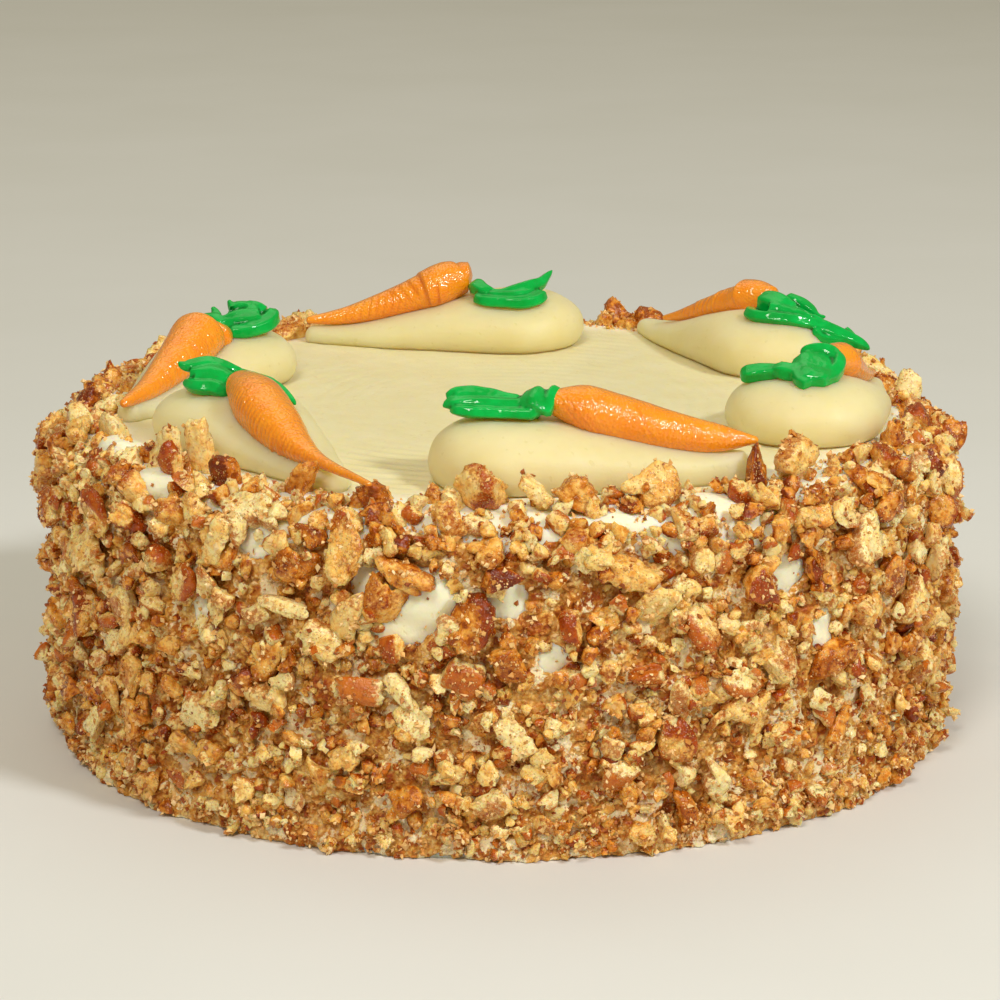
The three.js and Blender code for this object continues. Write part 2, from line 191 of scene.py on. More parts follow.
def new_piece(name, points, faces, material, slot, nodes, data=None, sharp=None):
    """A mesh piece on the cake, from points in mm; edges sharper than sharp degrees stay crisp."""
    mesh = bpy.data.meshes.new(name)
    faces = np.asarray(faces, np.int32)
    count, corners = faces.shape
    mesh.vertices.add(len(points))
    mesh.vertices.foreach_set("co", (np.asarray(points, float) * MM).ravel())
    mesh.loops.add(count * corners)
    mesh.loops.foreach_set("vertex_index", faces.ravel())
    mesh.polygons.add(count)
    mesh.polygons.foreach_set("loop_start", np.arange(count, dtype=np.int32) * corners)
    mesh.update(calc_edges=True)
    mesh.validate()
    mesh.shade_smooth()
    if sharp:
        mesh.set_sharp_from_angle(angle=math.radians(sharp))
    for key, values in (data or {}).items():
        keep_values(mesh, key, values)
    mesh.materials.append(material)
    piece = bpy.data.objects.new(name, mesh)
    bpy.context.scene.collection.objects.link(piece)
    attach(piece, "root")
    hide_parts(*nodes)


BALLS = {}


def ball(detail):
    """Points and triangles of a unit ball split evenly."""
    if detail not in BALLS:
        bm = bmesh.new()
        bmesh.ops.create_icosphere(bm, subdivisions=detail, radius=1.0)
        points = np.array([v.co[:] for v in bm.verts])
        faces = np.array([[v.index for v in f.verts] for f in bm.faces])
        bm.free()
        BALLS[detail] = (points, faces)
    return BALLS[detail]


def modified(points, faces, steps, skin=None):
    """A form after these modifiers, each a kind and its settings: points, triangles, skin."""
    mesh = bpy.data.meshes.new("form")
    mesh.from_pydata(points.tolist(), [], faces.tolist())
    if skin is not None:
        keep_values(mesh, "skin", skin)
    item = bpy.data.objects.new("form", mesh)
    bpy.context.scene.collection.objects.link(item)
    for kind, settings in steps:
        modifier = item.modifiers.new(kind, kind)
        for key, value in settings.items():
            setattr(modifier, key, value)
    done = item.evaluated_get(bpy.context.evaluated_depsgraph_get()).to_mesh()
    done.calc_loop_triangles()
    out_points = np.array([v.co[:] for v in done.vertices])
    out_faces = np.array([t.vertices[:] for t in done.loop_triangles])
    if skin is not None:
        skin = np.array([d.value for d in done.attributes["skin"].data])
    bpy.data.objects.remove(item)
    bpy.data.meshes.remove(mesh)
    return out_points, out_faces, skin


def curve_through(points, count):
    """Points evenly along a smooth Catmull-Rom curve through the given rows of numbers."""
    rows = np.asarray(points, float)
    padded = np.vstack([2 * rows[0] - rows[1], rows, 2 * rows[-1] - rows[-2]])
    t = np.linspace(0, len(rows) - 1, count)
    i = np.minimum(t.astype(int), len(rows) - 2)
    f = (t - i)[:, None]
    a, b, c, d = padded[i], padded[i + 1], padded[i + 2], padded[i + 3]
    return 0.5 * (2 * b + (c - a) * f + (2 * a - 5 * b + 4 * c - d) * f**2
                  + (3 * b - a - 3 * c + d) * f**3)


def to_cake(points, place):
    """Points of a topping's own frame, set on the cake."""
    x, y, heading = place
    turn = math.radians(heading)
    out = np.array(points, float)
    out[:, 0] = x + points[:, 0] * math.cos(turn) - points[:, 1] * math.sin(turn)
    out[:, 1] = y + points[:, 0] * math.sin(turn) + points[:, 1] * math.cos(turn)
    out[:, 2] = points[:, 2] + TOP
    return out


# ------------------------------------------------------------------ materials

def linear(red, green, blue):
    """A colour as seen on a screen, 0 to 255, as Blender's own linear numbers."""
    out = []
    for value in (red, green, blue):
        v = value / 255
        out.append(v / 12.92 if v <= 0.04045 else ((v + 0.055) / 1.055) ** 2.4)
    return (*out, 1.0)


class Nodes:
    """A material's node tree, with short ways to add and join nodes."""

    def __init__(self, name):
        self.material = bpy.data.materials.new(name)
        self.material.use_nodes = True
        self.tree = self.material.node_tree
        self.shader = self.tree.nodes["Principled BSDF"]
        self.place = self.add("ShaderNodeTexCoord").outputs["Object"]

    def add(self, kind, **settings):
        made = self.tree.nodes.new(kind)
        for key, value in settings.items():
            setattr(made, key, value)
        return made

    def join(self, source, socket):
        self.tree.links.new(source, socket)

    def feed(self, socket, value):
        if isinstance(value, bpy.types.NodeSocket):
            self.join(value, socket)
        else:
            socket.default_value = value

    def noise(self, size_mm, detail=3.0, roughness=0.55):
        made = self.add("ShaderNodeTexNoise")
        made.inputs["Scale"].default_value = 1 / (size_mm * MM)
        made.inputs["Detail"].default_value = detail
        made.inputs["Roughness"].default_value = roughness
        self.join(self.place, made.inputs["Vector"])
        return made.outputs["Fac"]

    def attribute(self, name):
        return self.add("ShaderNodeAttribute", attribute_name=name).outputs["Fac"]

    def ramp(self, source, low, high, to_low=0.0, to_high=1.0):
        made = self.add("ShaderNodeMapRange")
        made.inputs["From Min"].default_value = low
        made.inputs["From Max"].default_value = high
        made.inputs["To Min"].default_value = to_low
        made.inputs["To Max"].default_value = to_high
        self.join(source, made.inputs["Value"])
        return made.outputs["Result"]

    def spread(self, noise, to_low=0.0, to_high=1.0):
        """The usual range of a noise, brought to these ends."""
        return self.ramp(noise, 0.3, 0.7, to_low, to_high)

    def patches(self, size_mm, low, high, share=1.0, detail=3.0, roughness=0.55):
        """Soft-edged patches: 0 where a noise is below low, and this share where it is over high."""
        return self.ramp(self.noise(size_mm, detail, roughness), low, high, 0.0, share)

    def math(self, operation, a, b=0.5):
        made = self.add("ShaderNodeMath", operation=operation)
        self.feed(made.inputs[0], a)
        self.feed(made.inputs[1], b)
        return made.outputs[0]

    def mix(self, share, a, b):
        made = self.add("ShaderNodeMix", data_type="RGBA")
        self.feed(made.inputs["Factor"], share)
        self.feed(made.inputs["A"], a)
        self.feed(made.inputs["B"], b)
        return made.outputs["Result"]

    def colours(self, source, stops):
        """A colour that runs through the given (place, colour) stops."""
        made = self.add("ShaderNodeValToRGB")
        elements = made.color_ramp.elements
        while len(elements) < len(stops):
            elements.new(0.5)
        for element, (place, colour) in zip(elements, stops):
            element.position = place
            element.color = colour
        self.join(source, made.inputs["Fac"])
        return made.outputs["Color"]

    def cells(self, size_mm, feature="F1"):
        """Distance to the nearest of points scattered about this far apart."""
        made = self.add("ShaderNodeTexVoronoi", feature=feature)
        made.inputs["Scale"].default_value = 1 / (size_mm * MM)
        self.join(self.place, made.inputs["Vector"])
        return made.outputs["Distance"]

    def bumps(self, *layers):
        """The normal under layers of bump, each a height, its depth in mm and its strength."""
        normal = None
        for height, depth_mm, strength in layers:
            made = self.add("ShaderNodeBump")
            made.inputs["Strength"].default_value = strength
            made.inputs["Distance"].default_value = depth_mm * MM
            self.join(height, made.inputs["Height"])
            if normal:
                self.join(normal, made.inputs["Normal"])
            normal = made.outputs["Normal"]
        return normal

    def finish(self, **sockets):
        """The material, with these sockets of its shader set or joined."""
        for key, value in sockets.items():
            self.feed(self.shader.inputs[key.replace("_", " ")], value)
        return self.material


# Colours run with a piece's tint from 0, pale, to 1, dark
NUT_FLESH = [(0.0, linear(255, 232, 168)), (0.3, linear(255, 216, 134)),
             (0.6, linear(244, 184, 88)), (0.85, linear(218, 134, 36)), (1.0, linear(158, 74, 8))]
NUT_SKIN = [(0.0, linear(204, 116, 34)), (0.5, linear(170, 70, 4)), (1.0, linear(116, 40, 0))]
NUT_DUST = [(0.4, linear(250, 216, 152)), (0.6, linear(216, 152, 74))]
# Painted shade in the cracks of the flesh
NUT_CRACK_SHADE = linear(180, 104, 28)
NUT_MOTTLE = linear(206, 134, 52)
NUT_SPECK = linear(146, 76, 14)
NUT_EDGE = linear(184, 98, 14)
CRUMB_SHADES = [(0.0, linear(252, 220, 158)), (0.35, linear(236, 184, 108)),
                (0.65, linear(206, 136, 56)), (0.9, linear(154, 70, 8))]
MEAL_SHADES = [(0.0, linear(253, 216, 140)), (0.35, linear(238, 182, 88)),
               (0.7, linear(204, 128, 38)), (1.0, linear(156, 64, 0))]
# Painted shade in the dips between the meal's grains
MEAL_GAP_SHADE = linear(170, 84, 6)
# Frosting seen through the meal: its own cream, made paler in part as painted light
FROSTING_SMEAR_AND_PAINTED_LIGHT = linear(255, 230, 182)
# Paler frosting for the side and rim: partly its own tone, partly painted light
FROSTING_PALE_AND_PAINTED_LIGHT = linear(255, 243, 212)
# Painted shade in the frosting's pits
FROSTING_PIT_SHADE = linear(214, 196, 128)
BODY_CREAMS = linear(233, 223, 176), linear(228, 216, 164)
DROP_CREAMS = linear(231, 217, 167), linear(227, 211, 155)
CARROT_ORANGES = linear(255, 158, 16), linear(249, 141, 0)
# Painted shade in the carrots' folds and creases
CARROT_FOLD_SHADE = linear(206, 84, 0)
LEAF_GREENS = linear(0, 184, 76), linear(0, 158, 56)
# Painted shade in the leaves' hollows
LEAF_HOLLOW_SHADE = linear(0, 100, 30)


def nut_material():
    """Chopped pecan: honey-coloured flesh where it is cut, with painted shade along its crack grooves,
    brown skin elsewhere, dusted over.
    """
    n = Nodes("chopped_pecan")
    coarse = n.noise(2.0)
    fine = n.noise(0.42, 2)
    wander = n.math("MULTIPLY", n.math("SUBTRACT", n.noise(0.9, 3, 0.65)), 1.1)
    edge = n.math("ADD", n.attribute("skin"), wander)
    shade = n.math("ADD", n.attribute("tint"), n.spread(coarse, -0.3, 0.3))
    # Painted shade: the flesh is darker along the cracks, which the bump sinks as grooves
    cracks = n.ramp(n.cells(2.1, "DISTANCE_TO_EDGE"), 0.01, 0.06, 0.3, 0.0)
    cracks = n.math("MULTIPLY", cracks, n.patches(2.8, 0.52, 0.6, detail=2))
    flesh = n.mix(cracks, n.colours(shade, NUT_FLESH), NUT_CRACK_SHADE)
    flesh = n.mix(n.patches(1.2, 0.58, 0.66, 0.55, roughness=0.6), flesh, NUT_MOTTLE)
    flesh = n.mix(n.patches(0.5, 0.66, 0.7, 0.42, roughness=0.6), flesh, NUT_SPECK)
    flesh = n.mix(n.ramp(edge, 0.3, 0.5, 0.0, 0.8), flesh, NUT_EDGE)
    colour = n.mix(n.ramp(edge, 0.56, 0.64), flesh, n.colours(shade, NUT_SKIN))
    dust = n.math("MULTIPLY", n.ramp(n.cells(0.6), 0.34, 0.2), n.patches(3.0, 0.44, 0.54))
    colour = n.mix(dust, colour, n.colours(n.noise(0.8, 1), NUT_DUST))
    rough = n.math("ADD", n.spread(fine, 0.1, 0.32), n.math("MULTIPLY", dust, 0.3))
    relief = n.bumps((coarse, 0.6, 0.7), (n.cells(1.1), 0.4, 0.4), (cracks, -0.3, 0.6),
                     (fine, 0.16, 0.8), (dust, 0.3, 1.0))
    return n.finish(Base_Color=colour, Roughness=rough, Normal=relief, Specular_IOR_Level=0.38,
                    Subsurface_Weight=0.5, Subsurface_Radius=(1.0, 0.65, 0.2),
                    Subsurface_Scale=1.4 * MM)


def crumb_material():
    """Fine crumbs of nut, mostly paler than the pieces that they fell from."""
    n = Nodes("pecan_crumb")
    fine = n.noise(0.5, 2)
    return n.finish(Base_Color=n.colours(n.attribute("tint"), CRUMB_SHADES),
                    Roughness=n.spread(fine, 0.2, 0.5), Normal=n.bumps((fine, 0.2, 0.7)),
                    Specular_IOR_Level=0.5)


def meal_material():
    """The bed of ground nut that the pieces stick in, with painted shade between its grains, and
    frosting pressed up through it that is made paler in part as painted light.
    """
    n = Nodes("pecan_meal")
    grain = n.cells(0.9)
    fine = n.noise(0.4, 2)
    shade = n.math("ADD", n.attribute("tint"), n.spread(n.noise(1.1, 2), -0.3, 0.3))
    # Painted shade: the meal is darker at the edges of its grains, where the bed dips between them
    colour = n.mix(n.ramp(grain, 0.35, 0.6, 0.0, 0.4), n.colours(shade, MEAL_SHADES), MEAL_GAP_SHADE)
    # Frosting pressed up through the meal, paler than the frosting's own colour: partly painted light
    # that lifts the shade among the nuts
    smear = n.patches(5.0, 0.54, 0.58, detail=4, roughness=0.62)
    return n.finish(Base_Color=n.mix(smear, colour, FROSTING_SMEAR_AND_PAINTED_LIGHT),
                    Roughness=n.spread(fine, 0.22, 0.5),
                    Normal=n.bumps((grain, -0.45, 0.7), (fine, 0.25, 0.7)),
                    Specular_IOR_Level=0.35, Subsurface_Weight=0.3,
                    Subsurface_Radius=(1.0, 0.5, 0.1), Subsurface_Scale=2.4 * MM)


def icing_material(name, creams, relief_mm, glow_mm):
    """Cream frosting: soft, slightly see-through, paler where the attribute "pale" is set, which is
    partly painted light, and with painted shade in its pits.
    """
    n = Nodes(name)
    fine = n.noise(0.9)
    colour = n.mix(n.spread(n.noise(9)), *creams)
    # Paler on the side and round the rim: partly the frosting's own tone, partly painted light that
    # lifts the shade among the nuts
    colour = n.mix(n.attribute("pale"), colour, FROSTING_PALE_AND_PAINTED_LIGHT)
    # Painted shade: the frosting is darker in the pits that the bump sinks
    pits = n.patches(1.6, 0.70, 0.76, detail=1.0, roughness=0.3)
    colour = n.mix(n.math("MULTIPLY", pits, 0.25), colour, FROSTING_PIT_SHADE)
    height = n.math("SUBTRACT", fine, n.math("MULTIPLY", pits, 0.8))
    return n.finish(Base_Color=colour, Roughness=n.spread(fine, 0.42, 0.6),
                    Normal=n.bumps((height, relief_mm, 0.55)), Specular_IOR_Level=0.4,
                    Subsurface_Weight=0.9, Subsurface_Radius=(1.0, 0.8, 0.35),
                    Subsurface_Scale=glow_mm * MM)


def carrot_material():
    """Orange piped icing with painted shade in its folds, under a gloss broken by fine grain."""
    n = Nodes("carrot_icing")
    grain = n.noise(0.55, 0)
    colour = n.mix(n.spread(n.noise(5)), *CARROT_ORANGES)
    # Painted shade: darker where the attribute "fold" marks a fold or crease
    return n.finish(Base_Color=n.mix(n.attribute("fold"), colour, CARROT_FOLD_SHADE),
                    Roughness=n.spread(n.noise(0.5), 0.28, 0.44), Normal=n.bumps((grain, 0.2, 1.0)),
                    Specular_IOR_Level=0.25, Coat_Weight=1.0, Coat_Roughness=0.1, Coat_IOR=1.6,
                    Coat_Normal=n.bumps((n.noise(2.4, 0), 0.16, 1.0), (grain, 0.24, 1.0)),
                    Subsurface_Weight=0.25, Subsurface_Radius=(1.0, 0.5, 0.15),
                    Subsurface_Scale=3 * MM)


def leaf_material():
    """Deep green piped icing with painted shade in its hollows, under a wet gloss with fine bubbles."""
    n = Nodes("leaf_icing")
    fine = n.noise(0.45, 2)
    bubbles = n.ramp(n.cells(1.3), 0.16, 0.06)
    colour = n.mix(n.spread(n.noise(4)), *LEAF_GREENS)
    # Painted shade: darker where the attribute "hollow" marks a hollow
    return n.finish(Base_Color=n.mix(n.attribute("hollow"), colour, LEAF_HOLLOW_SHADE),
                    Roughness=n.spread(fine, 0.08, 0.2), Normal=n.bumps((fine, 0.1, 0.6)),
                    Specular_IOR_Level=0.05, Coat_Weight=0.6, Coat_Roughness=0.07,
                    Coat_Normal=n.bumps((n.noise(1.4, 0), 0.2, 1.0), (bubbles, 0.12, 1.0)),
                    Subsurface_Weight=0.1, Subsurface_Radius=(0.1, 1.0, 0.3),
                    Subsurface_Scale=2 * MM)


NUT = nut_material()
CRUMB = crumb_material()
MEAL = meal_material()
BODY_ICING = icing_material("frosting_coat", BODY_CREAMS, relief_mm=0.14, glow_mm=2)
DROP_ICING = icing_material("frosting_piped", DROP_CREAMS, relief_mm=0.1, glow_mm=14)
CARROT = carrot_material()
LEAF = leaf_material()


# ------------------------------------------------------------------ shapes shared with part.mjs

# A teardrop's section: the height of its waist as a share of its own, the width of its foot as a
# share of its widest, and how full its skin is over the waist, where 2 would be an ellipse
WAIST = 0.32
FOOT_WIDTH = 0.86
SKIN_POWER = 2.6


def crest_height(drop, along):
    """Height of a teardrop's ridge."""
    length, _, height, tail = drop
    share = np.clip(np.asarray(along, float) / length, 0, 1)
    return tail + (height - tail) * (1 + np.cos(np.pi * share)) / 2


def half_width_at(drop, along):
    """Half the width of a teardrop, which narrows to 3 mm at its tail."""
    share = np.clip(np.asarray(along, float) / drop[0], 0, 1)
    return drop[1] * (1 - share**1.35) ** 0.9 + 3 * share**2


def skin_height(drop, along, aside):
    """Height of a teardrop's skin over a point of its own frame."""
    spine = np.clip(along, 0, drop[0])
    share = np.hypot(along - spine, aside) / half_width_at(drop, spine)
    return crest_height(drop, spine) * (
        WAIST + (1 - WAIST) * np.sqrt(np.maximum(0, 1 - share**SKIN_POWER)))


# Thickness along each carrot, as shares of its widest, at even steps from head to tip
OUTLINES = {
    "front": (0.55, 1, 0.98, 0.91, 0.77, 0.56, 0.16),
    "left_front": (0.58, 0.94, 0.86, 0.54, 0.26, 0.17, 0.1),
    "back": (0.7, 1, 0.84, 0.67, 0.5, 0.34, 0.16),
}
PLAIN_OUTLINE = (0.55, 0.99, 0.89, 0.73, 0.54, 0.35, 0.16)

# How far the head of a carrot bends aside and down, in mm, and over which share of its length
NOD = {"left_back": (2.2, 2.6)}
HEAD_SHARE = 0.17


def carrot_thickness(name, share):
    """Thickness along a carrot, from its head to its tip, as a share of its widest."""
    steps = curve_through([[t] for t in OUTLINES.get(name, PLAIN_OUTLINE)], 200)[:, 0]
    return np.interp(share, np.linspace(0, 1, 200), steps)


def carrot_middle(name, share):
    """The middle of a carrot in its teardrop's frame, bowed aside and with its head bent over."""
    _, drop, (head, tip, _, bow) = SETS[name]
    share = np.asarray(share, float)
    aside, down = NOD.get(name, (0, 0))
    bend = 1 - smooth_step(0, HEAD_SHARE, share)
    along = head[0] + (tip[0] - head[0]) * share
    across = head[1] + (tip[1] - head[1]) * share + bow * np.sin(np.pi * share) + aside * bend
    lift = head[2] + (tip[2] - head[2]) * share - down * bend
    return np.stack([along, across, crest_height(drop, along) + lift], -1)


# ------------------------------------------------------------------ iced body

def coat_profile(s):
    """Radius, height and outward slope of the coat's middle surface, s mm up from the foot."""
    s = np.asarray(s, float)
    past = s - SIDE_LENGTH
    bulge = 0.9 * np.sin(np.clip(s / 60, 0, 1) * np.pi)
    flare = 1.6 * (1 - smooth_step(0, 7, s))
    arc = np.clip(past / SHOULDER_RADIUS, 0, np.pi / 2)
    radius = SHOULDER_AXIS + SHOULDER_RADIUS * np.cos(arc) + np.where(past < 0, bulge + flare, 0)
    radius = radius - np.maximum(0, past - SHOULDER_LENGTH)
    height = np.where(past < 0, s + SIDE_FOOT, SHOULDER_LEVEL + SHOULDER_RADIUS * np.sin(arc))
    return radius, height, arc


# Where the nuts leave the frosting bare: bearing, way up the coat, half width, half height, swell
BARE = [
    (-99, 51.8, 8, 7, 1.2), (-89, 52.3, 4, 4, 0.9), (-105.3, 54.8, 4, 3.4, 0.6),
    (-101.5, 46.5, 7, 4.5, 0.8), (-53, 52.4, 4, 4, 0.7), (-138, 70.5, 9, 5, 1.2),
    (-153.7, 75.5, 9, 6, 2.0), (-62, 73, 6, 5, 0.6), (-76, 69, 5, 3, 0.5), (-120, 60, 4, 3, 0.5),
    (-84, 40, 3, 3, 0.5), (-48, 38, 3, 5, 0.6), (-34, 56, 3, 4, 0.5), (-128, 44, 3, 3, 0.4),
    (-10, 60, 4, 4, 0.5), (20, 60, 6, 5, 0.7), (75, 50, 6, 5, 0.7), (120, 62, 7, 5, 0.8),
    (165, 48, 5, 5, 0.7), (48, 40, 4, 4, 0.6), (100, 30, 5, 4, 0.6), (145, 72, 6, 4, 0.6),
    (-168, 58, 4, 5, 0.6),
]


def bare_share(bearing, s):
    """How bare of nuts a place is, from 0 to 1, and how far the frosting swells there."""
    bare, swell = 0.0, 0.0
    for where, up, wide, high, lump in BARE:
        away = (np.asarray(bearing) - where + 180) % 360 - 180
        reach = np.hypot(away * math.radians(1) * SIDE_RADIUS / wide, (s - up) / high)
        here = 1 - smooth_step(0.6, 1.15, reach)
        bare = np.maximum(bare, here)
        swell = np.maximum(swell, here * lump)
    return bare, swell


def frosting_level(place, s):
    """How far the uneven frosting stands out from the coat's middle surface; mostly it is sunk."""
    inset = 2.6 * (1 - smooth_step(58, 72, s)) + 0.6
    rough = 1.3 * noise(place, 7, 1) + 0.5 * noise(place, 3, 2) + 0.25 * noise(place, 1.4, 3)
    return rough * (1 - 0.6 * smooth_step(60, 74, s)) - inset


def side_rings(angle):
    """Rings of points from the foot up the side and over the shoulder, uneven as spread frosting."""
    over = SHOULDER_RADIUS * np.linspace(0, np.pi / 2, 20)[1:]
    ups = np.concatenate([np.linspace(0, SIDE_LENGTH, 40), SIDE_LENGTH + over])[:, None]
    radius, height, arc = coat_profile(ups)
    rings = round_points(radius, height, angle)
    _, swell = bare_share(np.degrees(angle), ups)
    out = frosting_level(rings, ups) + 1.5 * swell
    rings = rings + round_points(out * np.cos(arc), out * np.sin(arc), angle)
    return np.concatenate([rings[:1] * (1, 1, 0), rings])


COMB_PITCH = 4.0
COMB_MARKED = (-22, -66)  # the place round which the comb's rings show best


def top_rings(angle):
    """Rings of points in over the top, with the comb's faint grooves, and how pale each point is, a
    paleness that is partly painted light.
    """
    radius = np.concatenate([np.arange(91.2, 2, -1.0), [1.0]])[:, None]
    rings = round_points(radius, CAKE_HEIGHT, angle)
    groove = np.sin(2 * np.pi * (radius + 0.7 * noise(rings, 30, 5)) / COMB_PITCH)
    x, y = COMB_MARKED
    near = 1 - smooth_step(14, 30, np.hypot(rings[..., 0] - x, rings[..., 1] - y))
    depth = 0.055 + 0.16 * near + 0.05 * noise(rings, 22, 6)
    groove = groove * np.maximum(depth, 0) * (1 - smooth_step(80, 88, radius))
    rings[..., 2] += groove + 0.22 * noise(rings, 22, 7) + 0.08 * noise(rings, 4, 8)
    rings[..., 2] += 0.5 * noise(rings, 6, 9) * smooth_step(84, 91, radius)
    return rings, smooth_step(80, 90, radius + 4 * noise(rings, 20, 10))


def iced_body():
    """The frosted body from the middle of its foot to the middle of its top, and how pale it is, partly
    as painted light.
    """
    cols = 300
    angle = even_angles(cols)
    side = side_rings(angle)
    top, pale = top_rings(angle)
    rings = np.concatenate([side, top])
    points = np.vstack([rings.reshape(-1, 3), (0, 0, 0), (0, 0, CAKE_HEIGHT)])
    pale = np.concatenate([np.ones(side.size // 3), pale.ravel(), (1, 0)])
    return points, tube_triangles(len(rings), cols), pale


# ------------------------------------------------------------------ nuts

DRAW_STEP = 1664525, 1013904223
DRAW_RANGE = 2**32


def seeded_draws(seed):
    """The same run of draws from 0 to 1 as part.mjs makes."""
    state = seed
    while True:
        state = (state * DRAW_STEP[0] + DRAW_STEP[1]) % DRAW_RANGE
        yield state / DRAW_RANGE


def turn_matrix(roll, lean, angle):
    """Rotation by roll about X, then lean about Y, then angle about Z."""
    cr, sr, cl, sl, ca, sa = (f(v) for v in (roll, lean, angle) for f in (math.cos, math.sin))
    about_x = np.array([[1, 0, 0], [0, cr, -sr], [0, sr, cr]])
    about_y = np.array([[cl, 0, sl], [0, 1, 0], [-sl, 0, cl]])
    about_z = np.array([[ca, -sa, 0], [sa, ca, 0], [0, 0, 1]])
    return about_z @ about_y @ about_x


def cut_planes(kind, rng):
    """The flat cuts that shape a piece: which way each faces and how far out it is."""
    if kind == "slice":
        planes = [((1, 0, 0), rng.uniform(0.28, 0.5)), ((-1, 0, 0), rng.uniform(0.28, 0.45))]
        return planes + [(rng.normal(size=3) * (0.4, 1, 1), rng.uniform(0.5, 0.75))]
    if kind == "splinter":
        planes = [((1, 0.3, 0.1), rng.uniform(0.6, 0.85)), ((-1, 0.2, -0.3), rng.uniform(0.6, 0.85))]
        for turn in (0, 2.2, 4.1):
            turn += rng.uniform(-0.4, 0.4)
            planes.append(((rng.uniform(-0.15, 0.15), math.cos(turn), math.sin(turn)),
                           rng.uniform(0.2, 0.5)))
        return planes
    if kind == "tip":
        return [((-1, rng.uniform(-0.4, 0.4), 0.2), rng.uniform(0.1, 0.3)),
                ((0.1, rng.uniform(-1, 1), -1), rng.uniform(0.4, 0.65)),
                ((0.6, rng.uniform(-1, 1), rng.uniform(-0.5, 1)), rng.uniform(0.5, 0.75))]
    if kind == "curl":
        return [((0, 1, 0), rng.uniform(0.3, 0.45)), ((0, -1, 0), rng.uniform(0.3, 0.45)),
                ((0, 0, -1), rng.uniform(0.35, 0.6))]
    return [(rng.normal(size=3), rng.uniform(0.3, 0.62)) for _ in range(6)]


SKIN_LEFT = {"slice": 0.3, "splinter": 0.3, "tip": 0.7, "curl": 0.4, "wedge": 0.3}
EDGE_POWER = 14  # the higher, the sharper the edge between two cuts


def pecan_reach(unit, rng, seed):
    """How far a pecan half reaches each way: grooved along one side and ribbed all over."""
    phi = np.arctan2(unit[:, 2], unit[:, 1])
    across = np.hypot(unit[:, 1], unit[:, 2])
    groove = wrapped(phi - rng.uniform(-np.pi, np.pi))
    reach = 1 + 0.14 * np.cos(2 * phi + rng.uniform(0, 6.3)) + 0.14 * noise(unit, 0.8, seed)
    reach -= 0.48 * across * np.exp(-((groove / 0.36) ** 2))
    return reach * (1 + 0.045 * across * np.sin(8 * phi + 2.5 * noise(unit, 0.9, seed + 1)))


def nut_form(kind, detail, rng, ratio):
    """One piece of chopped pecan in a box of half size 1: points, faces, share of skin."""
    unit, faces = ball(detail)
    seed = int(rng.integers(1, 1 << 20))
    near = [1 / pecan_reach(unit, rng, seed)]
    for i, (normal, depth) in enumerate(cut_planes(kind, rng)):
        normal = np.asarray(normal, float) / np.linalg.norm(normal)
        rough = 1 + 0.2 * noise(unit, 0.5, seed + 2 + i) + 0.08 * noise(unit, 0.2, seed + 12 + i)
        near.append(np.maximum(unit @ normal, 0) / (depth * rough))
    near = np.stack(near)
    points = unit / (np.sum(near**EDGE_POWER, 0) ** (1 / EDGE_POWER))[:, None]
    cut = np.max(near[1:], 0)
    skin = near[0] ** 4 / (near[0] ** 4 + cut**4)
    if rng.random() > SKIN_LEFT[kind]:
        skin = 0.55 * skin
    points[:, 0] += rng.uniform(-0.45, 0.45) * points[:, 2] ** 2
    points[:, 1] += rng.uniform(-0.3, 0.3) * points[:, 2] ** 2
    points += 0.04 * np.stack([noise(points, 0.22, seed + 5 + i) for i in range(3)], -1)
    low, high = points.min(0), points.max(0)
    points = (points - (low + high) / 2) / ((high - low) / 2)
    if kind in ("splinter", "tip"):
        points = points[:, [1, 2, 0]]
    return modified(points, faces, [("DECIMATE", {"ratio": ratio})], skin)


OCTAHEDRON = np.array([(1, 0, 0), (-1, 0, 0), (0, 1, 0), (0, -1, 0), (0, 0, 1), (0, 0, -1)], float)
OCTAHEDRON_FACES = np.array([(0, 2, 4), (2, 1, 4), (1, 3, 4), (3, 0, 4),
                             (2, 0, 5), (1, 2, 5), (3, 1, 5), (0, 3, 5)])
KINDS = ("slice", "wedge", "tip", "splinter", "curl")
KIND_SHARES = (0.24, 0.32, 0.15, 0.13, 0.16)


def nut_forms(detail, each, seed, ratio):
    """So many forms of each kind, from balls of this detail, thinned to this share of triangles."""
    rng = np.random.default_rng(seed)
    return {kind: [nut_form(kind, detail, rng, ratio) for _ in range(each)] for kind in KINDS}


class Heap:
    """Many small pieces gathered into one mesh."""

    def __init__(self, forms):
        self.forms = forms
        self.points, self.faces, self.skin, self.tint = [], [], [], []
        self.count = 0

    def put(self, kind, which, centre, half_sizes, matrix, tint):
        """Add one of a kind's forms, sized, turned and set down, and flat where it meets the floor."""
        forms = self.forms[kind]
        points, faces, skin = forms[which % len(forms)]
        placed = (points * half_sizes) @ matrix.T + centre
        placed[:, 2] = np.maximum(placed[:, 2], 0)
        self.points.append(placed)
        self.faces.append(faces + self.count)
        self.skin.append(skin)
        self.tint.append(np.full(len(points), tint))
        self.count += len(points)

    def arrays(self):
        """All its points, and all its faces."""
        return np.concatenate(self.points), np.concatenate(self.faces)

    def piece(self, name, material, sharp):
        """Make it one piece of the nut coat."""
        data = {"skin": np.concatenate(self.skin), "tint": np.concatenate(self.tint)}
        new_piece(name, *self.arrays(), material, "nut_coat", ("frosted_cake",), data, sharp)


